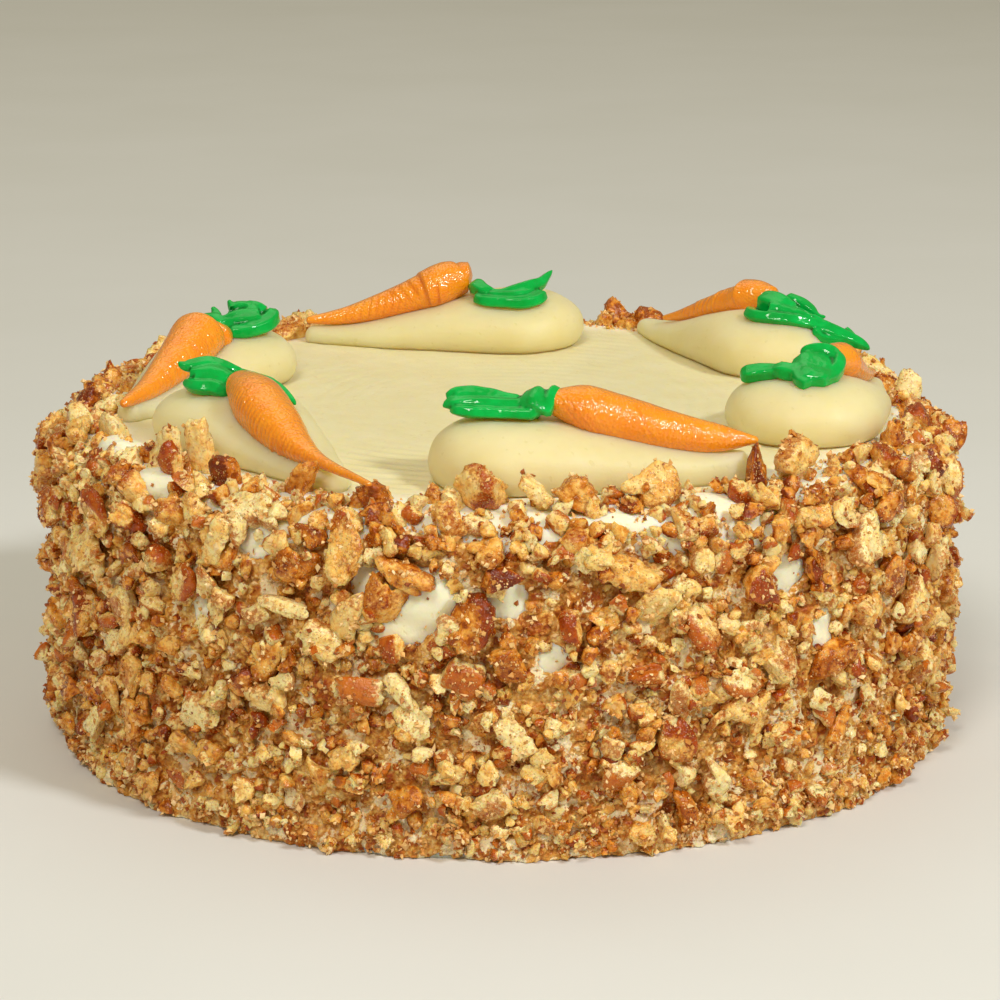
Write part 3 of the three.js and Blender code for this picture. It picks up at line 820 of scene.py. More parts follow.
def clear_of_toppings(centre, reach):
    """True where a ball of this size is clear of every teardrop, carrot and tail."""
    for name, ((x, y, heading), drop, carrot) in SETS.items():
        turn = math.radians(heading)
        dx, dy = centre[0] - x, centre[1] - y
        along = dx * math.cos(turn) + dy * math.sin(turn)
        aside = -dx * math.sin(turn) + dy * math.cos(turn)
        spine = min(max(along, 0), drop[0])
        gap = math.hypot(along - spine, aside) - half_width_at(drop, spine)
        if gap < reach and centre[2] - TOP - reach < crest_height(drop, spine):
            return False
        shares = np.linspace(0, 1, 21)
        away = np.linalg.norm(carrot_middle(name, shares) - (along, aside, centre[2] - TOP), axis=1)
        if np.any(away < reach + carrot[2] * carrot_thickness(name, shares)):
            return False
    return True


def slide_clear(centre, reach):
    """The place moved straight out until it is clear of the toppings, or None."""
    outward = np.array([centre[0], centre[1], 0.0])
    outward *= 0.7 / np.linalg.norm(outward)
    for _ in range(8):
        if clear_of_toppings(centre, reach):
            return centre
        centre = centre + outward
    return None


def nut_list():
    """The big nuts, where part.mjs has them: centre, half sizes, turn, bearing, kind, look."""
    draws = seeded_draws(NUT_SEED)

    def spread(width):
        return width * (next(draws) - 0.5)

    def sizes(reach, scale):
        return np.array([size * scale * (0.62 + 0.38 * next(draws)) for size in reach])

    out = []

    def keep(angle, radius, height, turn, half, kind=None, look=None):
        centre = np.array([radius * math.cos(angle), radius * math.sin(angle), height])
        out.append((centre, half, turn_matrix(turn[0], turn[1], angle), angle, kind, look))

    for bearing, radius, height, half, kind, look in FRONT_NUTS:
        keep(math.radians(bearing), radius, CAKE_HEIGHT + height,
             (spread(0.5), spread(0.4)), np.array(half), kind, look)
    low, high = RIM_NUT_ARC
    for i in range(RIM_NUT_COUNT):
        bearing = low + (high - low) * (i + 0.6 * next(draws)) / RIM_NUT_COUNT
        radius = RIM_INNER_RADIUS + 1 + 7 * next(draws)
        height = CAKE_HEIGHT - 0.6 + 1.6 * next(draws)
        turn = (spread(1.6), spread(1.2))
        keep(math.radians(bearing), radius, height, turn, sizes(RIM_NUT_REACH, 1))
    golden = math.pi * (3 - math.sqrt(5))
    for i in range(SIDE_NUT_COUNT):
        share = (i + 0.5) / SIDE_NUT_COUNT
        angle = i * golden + spread(0.3)
        radius = SIDE_RADIUS + 0.4 + spread(0.6)
        low, high = CAKE_HEIGHT - 5, SKIRT_HEIGHT + 3
        height = low + (high - low) * share
        turn = (spread(2 * math.pi), spread(0.8))
        keep(angle, radius, height, turn, sizes(SIDE_NUT_REACH, 1 - SIDE_NUT_TAPER * share))
    return out


def coat_up(centre):
    """How far up the coat a point lies."""
    x, y, height = centre
    inward = SHOULDER_AXIS - math.hypot(x, y)
    if height < SHOULDER_LEVEL:
        return height - SIDE_FOOT
    arc = math.atan2(height - SHOULDER_LEVEL, max(-inward, 0.01))
    return SIDE_LENGTH + SHOULDER_RADIUS * arc + max(0, inward)


def coat_place(angle, up, out):
    """A place on the coat, so far out from its middle surface, and the slope there."""
    radius, height, arc = (float(v) for v in coat_profile(up))
    radius += out * math.cos(arc)
    return np.array([radius * math.cos(angle), radius * math.sin(angle),
                     height + out * math.sin(arc)]), arc


MEAL_GRAIN = 2.3  # about the width of a grain of the ground nut
MEAL_FOOT = -3.2  # how far up the coat the bed starts


def ground_grains(u, v, around):
    """A dome for each cell of a grid, scattered: how high each point is, and its grain's shade."""
    best = np.full(u.shape, 9.0)
    second = np.full(u.shape, 9.0)
    mark = np.zeros(u.shape)
    for dx in (-1, 0, 1):
        for dy in (-1, 0, 1):
            cx, cy = np.floor(u) + dx, np.floor(v) + dy
            corner = np.stack([cx % around, cy, np.zeros(u.shape)], -1)
            far = np.hypot(u - cx - 0.15 - 0.7 * lattice(corner, 61),
                           v - cy - 0.15 - 0.7 * lattice(corner, 62))
            closer = far < best
            second = np.where(closer, best, np.minimum(second, far))
            mark = np.where(closer, lattice(corner, 63), mark)
            best = np.where(closer, far, best)
    return smooth_step(0.0, 0.5, second - best) * (0.5 + 0.9 * mark), mark


def meal_bed():
    """A closed band of ground nut over the whole coat, sunk into the frosting where it is bare."""
    cols, rows = 600, 80
    angle = even_angles(cols)
    ups = np.linspace(MEAL_FOOT, COAT_LENGTH + 1, rows)
    around = round(2 * math.pi * SIDE_RADIUS / MEAL_GRAIN)
    u, v = np.meshgrid(angle * around / (2 * np.pi), (ups + 10) / MEAL_GRAIN)
    dome, mark = ground_grains(u, v, around)
    ups = ups[:, None]
    radius, height, arc = coat_profile(ups)
    place = round_points(radius, height, angle)
    bare, _ = bare_share(np.degrees(angle), ups)
    clean = smooth_step(63, 72, ups + 9 * noise(place, 11, 65))
    out = frosting_level(place, ups) + 1.3 * dome + 0.25 * noise(place, 1.1, 64) + 0.25
    out = out - 2.9 * np.maximum(bare, clean)
    out = out - 2.2 * smooth_step(COAT_LENGTH - 6, COAT_LENGTH + 1, ups)
    outer = round_points(radius + out * np.cos(arc),
                         np.maximum(height + out * np.sin(arc), 0.1), angle)
    inner = [round_points(86, CAKE_HEIGHT - 4, angle), round_points(95, 0.1, angle)]
    points = np.concatenate([outer.reshape(-1, 3), *inner, outer[0]])
    tint = np.concatenate([mark.ravel(), np.full(3 * cols, 0.5)])
    new_piece("pecan_meal", points, grid_faces(rows + 3, cols), MEAL, "nut_coat",
              ("frosted_cake",), {"tint": tint})
    return points, grid_faces(rows, cols)


def on_toppings(centre, reach):
    """True where a small piece near the top would touch a topping."""
    return centre[2] > 66 and not clear_of_toppings(centre, reach)


LOOK_FROM = 15.0  # how far out of the coat a look in starts
LOOK_REACH = 22


def looking_in(tree, angle, up):
    """Where a look straight in at the coat ends, which way that faces and how high it stands."""
    start, arc = coat_place(angle, up, LOOK_FROM)
    normal = Vector((math.cos(arc) * math.cos(angle), math.cos(arc) * math.sin(angle),
                     math.sin(arc)))
    hit, facing, _, far = tree.ray_cast(Vector(start), -normal, LOOK_REACH)
    return (np.array(hit), np.array(facing), LOOK_FROM - far) if hit else (None, None, None)


class Coat:
    """What has been laid so far, as meshes to look at and as places taken."""

    def __init__(self, rng, body):
        self.rng = rng
        self.points, self.faces, self.total = [], [], 0
        self.taken = []  # bearing, way up the coat and reach of each piece
        self.add(*body)

    def add(self, points, faces):
        """Add a mesh to what is looked at from outside."""
        self.points.append(points)
        self.faces += (np.asarray(faces) + self.total).tolist()
        self.total += len(points)

    def free(self, angle, up, reach, crowding):
        """True where no piece is nearer than this share of the two reaches."""
        if not self.taken:
            return True
        known = np.array(self.taken)
        away = np.hypot(wrapped(known[:, 0] - angle) * 100.0, known[:, 1] - up)
        return bool(np.all(away > (known[:, 2] + reach) * crowding))

    def lay(self, heap, kind, centre, half, matrix, look, angle, up):
        """Lay one piece where it is told to be."""
        heap.put(kind, int(self.rng.integers(1000)), centre, half, matrix, look)
        self.taken.append((angle, up, (half[1] + half[2]) / 2))

    def scatter(self, heap, most, sizes, crowding, depth, bare_limit, ups=(0.5, COAT_LENGTH)):
        """Lay pieces at random, smaller toward the foot, no two much nearer than their sizes allow."""
        rng = self.rng
        placed = 0
        for _ in range(most * 14):
            if placed >= most:
                break
            angle = rng.uniform(-np.pi, np.pi)
            up = rng.uniform(*ups)
            size = rng.uniform(*sizes) * (0.66 + 0.34 * up / COAT_LENGTH)
            bare, _ = bare_share(math.degrees(angle), up)
            if bare > bare_limit or not self.free(angle, up, size, crowding):
                continue
            centre, arc = coat_place(angle, up, rng.uniform(*depth))
            half = size * rng.uniform((0.55, 0.75, 0.75), (0.85, 1.2, 1.3))
            centre[2] = max(centre[2], 0.2 + half.max())
            if on_toppings(centre, float(half.mean())):
                continue
            matrix = turn_matrix(rng.uniform(-np.pi, np.pi), rng.normal(0, 0.4), angle)
            matrix = matrix @ turn_matrix(0, -arc, rng.normal(0, 0.35))
            heap.put(rng.choice(KINDS, p=KIND_SHARES), int(rng.integers(1000)), centre, half,
                     matrix, rng.beta(1.1, 1.5))
            self.taken.append((angle, up, size))
            placed += 1

    def sprinkle(self, heap, most, sizes, sink, shy, low_share):
        """Lay small pieces on whatever shows, more rarely where it already stands high."""
        rng = self.rng
        tree = BVHTree.FromPolygons(np.concatenate(self.points).tolist(), self.faces)
        kinds = list(heap.forms)
        placed = 0
        for _ in range(most * 4):
            if placed >= most:
                break
            angle = rng.uniform(-np.pi, np.pi)
            low = rng.random() < low_share
            up = rng.uniform(-3, 5) if low else rng.uniform(0, COAT_LENGTH + 1)
            hit, facing, level = looking_in(tree, angle, up)
            if hit is None or rng.random() < shy * smooth_step(-2.0, 2.0, level):
                continue
            bare, _ = bare_share(math.degrees(angle), up)
            if rng.random() < 0.85 * bare:
                continue
            size = rng.uniform(*sizes)
            half = size * rng.uniform(0.6, 1.2, 3)
            centre = hit + facing * size * sink
            centre[2] = max(centre[2], half.max())
            if on_toppings(centre, size):
                continue
            heap.put(kinds[int(rng.integers(len(kinds)))], int(rng.integers(1000)), centre, half,
                     turn_matrix(*rng.uniform(-np.pi, np.pi, 3)), rng.beta(1.1, 1.5))
            placed += 1
        self.add(*heap.arrays())


# Large pieces on the side: bearing, way up the coat, half sizes (out, across, up), roll, kind, look
SIDE_NUTS = [
    (-121, 68, (2.8, 8.2, 3.8), -14, "slice", 0.1), (-113.6, 57.3, (3.2, 5, 5.4), 0, "tip", 0.85),
    (-107.9, 62.8, (3, 4.6, 8.4), 10, "wedge", 0.5),
    (-100.8, 57.6, (2.6, 6.8, 2.8), -24, "slice", 0.7),
    (-91.7, 62.9, (3, 3.9, 3.9), 0, "wedge", 0.6), (-89.8, 58.3, (3, 4.8, 3), 10, "tip", 0.95),
    (-75.6, 58, (3.4, 6.5, 5.4), 20, "wedge", 0.5), (-115, 49, (2.4, 6.2, 2), -4, "splinter", 0.1),
    (-49.8, 49.8, (2, 1.9, 1.8), 0, "tip", 1.0), (-38.4, 69.3, (2.6, 2.8, 4), 0, "tip", 0.8),
    (-107.7, 47, (3, 6, 6.2), 12, "wedge", 0.3), (-81, 64, (3, 3.8, 4.6), -30, "tip", 0.6),
    (-66.6, 59, (2.4, 2.4, 3), 0, "slice", 0.3), (-61.5, 32, (3, 4.8, 3.4), 10, "wedge", 0.1),
    (-68, 66.5, (2.4, 2.3, 4.2), 0, "curl", 0.3), (-106, 33, (2.8, 5.4, 3.2), 5, "curl", 0.1),
]


def lay_big_nuts(coat, big):
    """Lay the large pieces that have places of their own, and those that part.mjs has."""
    rng = coat.rng
    for bearing, up, half, roll, kind, look in SIDE_NUTS:
        angle = math.radians(bearing)
        centre, arc = coat_place(angle, up, 0.2)
        matrix = turn_matrix(0, 0, angle) @ turn_matrix(math.radians(roll), -arc, 0)
        coat.lay(big, kind, centre, np.array(half), matrix, look, angle, up)
    for centre, half, matrix, angle, kind, look in nut_list():
        centre = slide_clear(centre, (half[0] + half[1]) / 2 * 0.9)
        if centre is None:
            continue
        up = coat_up(centre)
        bearing = math.degrees(angle)
        bare, _ = bare_share(bearing, up)
        if kind is None and (bare > 0.5 or not coat.free(angle, up, half[1:].mean(), 0.6)):
            continue
        kind = kind or rng.choice(KINDS, p=KIND_SHARES)
        look = rng.beta(1.1, 1.4) if look is None else look
        if DARK_RIM[0] < bearing < DARK_RIM[1] and centre[2] > DARK_RIM[2]:
            look = 0.95
        coat.lay(big, kind, centre, half * 1.04, matrix, look, angle, up)


def crumb_forms(rng):
    """Grains of eight triangles, each shaken out of true in its own way."""
    shaken = [OCTAHEDRON * rng.uniform(0.6, 1.4, (6, 1)) * (1, 1, rng.uniform(0.3, 1))
              + rng.normal(0, 0.12, (6, 3)) for _ in range(60)]
    return {"crumb": [(form, OCTAHEDRON_FACES, np.zeros(6)) for form in shaken]}


COAT_SEED = 23


def nut_coat(body):
    """The whole coat: a bed of meal, big pieces, middling ones, bits on what shows, crumbs."""
    rng = np.random.default_rng(COAT_SEED)
    coat = Coat(rng, body)
    coat.add(*meal_bed())
    big = Heap(nut_forms(detail=4, each=8, seed=5, ratio=0.32))
    lay_big_nuts(coat, big)
    coat.scatter(big, 60, sizes=(3.6, 5.0), crowding=0.8, depth=(-0.6, 0.4), bare_limit=0.4)
    middling = Heap(nut_forms(detail=3, each=12, seed=6, ratio=0.42))
    coat.scatter(middling, 300, sizes=(1.7, 3.4), crowding=0.38, depth=(-0.2, 1.4), bare_limit=0.7,
                 ups=(60, COAT_LENGTH))
    coat.scatter(middling, 820, sizes=(2.1, 3.5), crowding=0.46, depth=(-1.4, 0.6), bare_limit=0.5)
    coat.add(*big.arrays())
    coat.add(*middling.arrays())
    bits = Heap(nut_forms(detail=2, each=12, seed=7, ratio=0.6))
    coat.sprinkle(bits, 2600, sizes=(0.9, 2.0), sink=0.3, shy=0.9, low_share=0.08)
    crumbs = Heap(crumb_forms(rng))
    coat.sprinkle(crumbs, 21000, sizes=(0.22, 0.78), sink=0.4, shy=0.1, low_share=0.12)
    big.piece("pecan_chunks", NUT, sharp=None)
    middling.piece("pecan_pieces", NUT, sharp=60)
    bits.piece("pecan_bits", NUT, sharp=60)
    crumbs.piece("pecan_crumbs", CRUMB, sharp=30)


# ------------------------------------------------------------------ toppings

def teardrop_rings(drop, rows, cols):
    """Rings of points up a teardrop, each round its spine from nose to tail, in its own frame."""
    theta = np.linspace(-np.pi, np.pi, cols, endpoint=False)
    turn = np.abs(theta)
    quarter, tail_angle = np.pi / 2, np.pi / 12
    spine = drop[0] * np.clip((quarter - turn) / (quarter - tail_angle), 0, 1)
    facing = np.where(turn >= quarter, theta, np.sign(theta) * quarter)
    facing = np.where(turn < tail_angle, theta * quarter / tail_angle, facing)
    rings = []
    for row in np.linspace(-quarter, quarter, rows):
        if row < 0:
            wide = FOOT_WIDTH + (1 - FOOT_WIDTH) * math.cos(row)
            high = WAIST + WAIST * math.sin(row)
        else:
            wide = max(0.0, math.cos(row)) ** (2 / SKIN_POWER)
            high = WAIST + (1 - WAIST) * math.sin(row)
        reach = half_width_at(drop, spine) * wide
        rings.append(np.stack([spine + reach * np.cos(facing), reach * np.sin(facing),
                               crest_height(drop, spine) * high], -1))
    return np.concatenate(rings)


def teardrop(name, place, drop):
    """A piped teardrop: smooth and round, drawn out to a low tail, its foot sunk in the top."""
    rows, cols = 30, 120
    base = teardrop_rings(drop, rows, cols)
    core = base * 0 + (0, 0, 3)
    core[:, 0] = np.clip(base[:, 0], 0, drop[0])
    outward = base - core
    outward /= np.maximum(np.linalg.norm(outward, axis=1, keepdims=True), 1e-6)
    seed = len(name) * 7 + ord(name[0])
    swell = 0.35 * noise(base, 11, seed) + 0.1 * noise(base, 4, seed + 1)
    foot = base[:cols] * (1, 1, 0) - (0, 0, 0.9)
    points = np.vstack([foot, base + outward * swell[:, None]])
    new_piece("teardrop_icing_" + name, to_cake(points, place), grid_faces(rows + 1, cols),
              DROP_ICING, "frosting", ("teardrop_" + name,))


# Folds in each carrot: mm from the head, the way round it faces, half angle it spans, slant in mm
# a radian, how far it laps over (toward the head when negative), length of the lap
FOLDS = {
    "front": [(2.4, 185, 60, 4.6, 0.34, 1.2), (3.8, 190, 65, 4.6, 0.42, 1.2),
              (5.4, 185, 65, 4.6, 0.44, 1.5), (7.2, 190, 60, 4.4, 0.38, 1.6),
              (9.2, 180, 50, 4, 0.26, 1.8), (18.5, 165, 50, 2.5, 0.34, 2.5),
              (21, 170, 40, 2.5, 0.2, 2), (29, 160, 40, 2, 0.2, 3)],
    "right": [(7, 150, 80, 0.6, 0.5, 3), (13, 170, 70, 0, 0.3, 3), (20, 150, 60, 1, 0.2, 2)],
    "right_back": [(8, 60, 90, 1.2, 0.9, 3), (14.8, 10, 70, 0, 0.6, 3), (22, 40, 60, 1, 0.2, 3)],
    "back": [(10.8, 30, 95, 1.7, 0.75, 5), (7, -10, 40, 1, 0.5, 1.5), (13.6, 45, 60, 2.5, 0.4, 1.5),
             (15.8, 40, 60, 2.5, 0.3, 1.6), (18, 40, 50, 2.5, 0.25, 1.8)],
    "left_back": [(5.4, 70, 120, 0.4, -0.6, 7), (16, 20, 60, 1, 0.25, 4), (27, 20, 60, 1, 0.25, 4)],
    "left_front": [(26, 205, 50, -1, 0.45, 2), (29, 200, 50, -1, 0.4, 2), (1.6, 190, 70, 0, 0.3, 1.5),
                   (14, 120, 50, 1, 0.2, 3)],
}

# Notches: mm from the head, way round, half angle, slant, depth, half width
NOTCHES = {"left_back": [(5, 80, 125, 0.5, 1.5, 1.2)], "back": [(1.5, 60, 120, 2, 0.5, 0.8)]}

# Fine wrinkles: from and to in mm from the head, pitch, way round they face, half angle, depth
WRINKLES = {
    "front": (1, 36, 1.3, 215, 85, 0.16), "right": (3, 30, 1.8, 170, 90, 0.2),
    "right_back": (10, 30, 1.7, 20, 80, 0.2), "back": (12, 36, 1.9, 20, 80, 0.2),
    "left_back": (6, 36, 2.2, 20, 70, 0.14), "left_front": (1, 44, 1.3, 200, 85, 0.42),
}


def round_fade(theta, toward, span):
    """The turn from the given way round, and a fade from 1 there to 0 at the span."""
    turn = wrapped(theta - math.radians(toward))
    return turn, 1 - smooth_step(0.45, 1, np.abs(turn) / math.radians(span))


def carrot_wrinkles(name, down, theta, wander):
    """Fine ridges round a carrot: how far they stand out, and the painted shade in the creases."""
    low, high, pitch, toward, span, depth = WRINKLES[name]
    turn, fade = round_fade(theta, toward, span)
    phase = (down + 0.5 * turn + 0.5 * wander) / pitch % 1
    ridge = np.minimum(phase / 0.7, (1 - phase) / 0.3)
    fade = fade * smooth_step(low, low + 4, down) * (1 - smooth_step(high - 8, high, down))
    fade = fade * (0.6 + 0.4 * wander)
    return depth * ridge * fade, fade * (1 - smooth_step(0, 0.4, ridge)) * 1.6 * depth


def carrot_relief(name, down, theta, wander):
    """How far a carrot's skin stands out, down mm from its head, and the painted shade in its folds."""
    out = np.zeros(down.shape)
    dark = np.zeros(down.shape)
    for at, toward, span, slant, lap, length in FOLDS[name]:
        turn, fade = round_fade(theta, toward, span)
        line = (down - at - slant * turn + 0.4 * wander) * math.copysign(1, lap)
        edge = fade * smooth_step(0.25, -0.25, line)
        out += abs(lap) * edge * np.exp(np.minimum(line, 0) / length)
        crease = np.exp(-((line - 0.3) / 0.4) ** 2)
        # Painted shade along the crease under each fold's lap
        dark = np.maximum(dark, fade * crease * min(0.4, 0.9 * abs(lap)))
    for at, toward, span, slant, depth, width in NOTCHES.get(name, ()):
        turn, fade = round_fade(theta, toward, span)
        out -= depth * fade * np.exp(-(((down - at - slant * turn) / width) ** 2))
    ridges, creases = carrot_wrinkles(name, down, theta, wander)
    return out + ridges, np.maximum(dark, creases)


# How a carrot is rounded off past its head and past its tip: shares of its length, and how much
# of its thickness is left there
HEAD_END = (-0.03, -0.02, -0.008), (0.0, 0.55, 0.85)
TIP_END = (1.006, 1.012, 1.015), (0.8, 0.5, 0.0)


def carrot_root(name, place, carrot):
    """A piped carrot with the folds that the icing takes as it is drawn out."""
    cols, rows = 44, 190
    head, tip, half_width, _ = carrot
    share = np.concatenate([HEAD_END[0], np.linspace(0, 1, rows), TIP_END[0]])
    closing = np.concatenate([HEAD_END[1], np.ones(rows), TIP_END[1]])
    middle = carrot_middle(name, share)
    s, t = np.meshgrid(share, even_angles(cols), indexing="ij")
    thick = carrot_thickness(name, np.clip(s, 0, 1)) * closing[:, None]
    seed = len(name) * 5 + ord(name[-1])
    down = s * (tip[0] - head[0])
    unrolled = np.stack([down, half_width * np.cos(t), half_width * np.sin(t)], -1)
    swell, dark = carrot_relief(name, down, t, noise(unrolled, 4, seed))
    swell = swell + 0.22 * noise(unrolled, 8, seed + 2) + 0.06 * noise(unrolled, 2, seed + 3)
    reach = half_width * thick + swell * np.minimum(1, thick * 2)
    aside = np.stack([0 * t, reach * np.cos(t), 0.9 * reach * np.sin(t)], -1)
    points = to_cake((middle[:, None] + aside).reshape(-1, 3), place)
    # The attribute "fold" carries the painted shade in the folds and creases
    new_piece("carrot_icing_" + name, points, grid_faces(len(share), cols), CARROT,
              "carrot_icing", ("carrot_" + name,), {"fold": dark.ravel()})


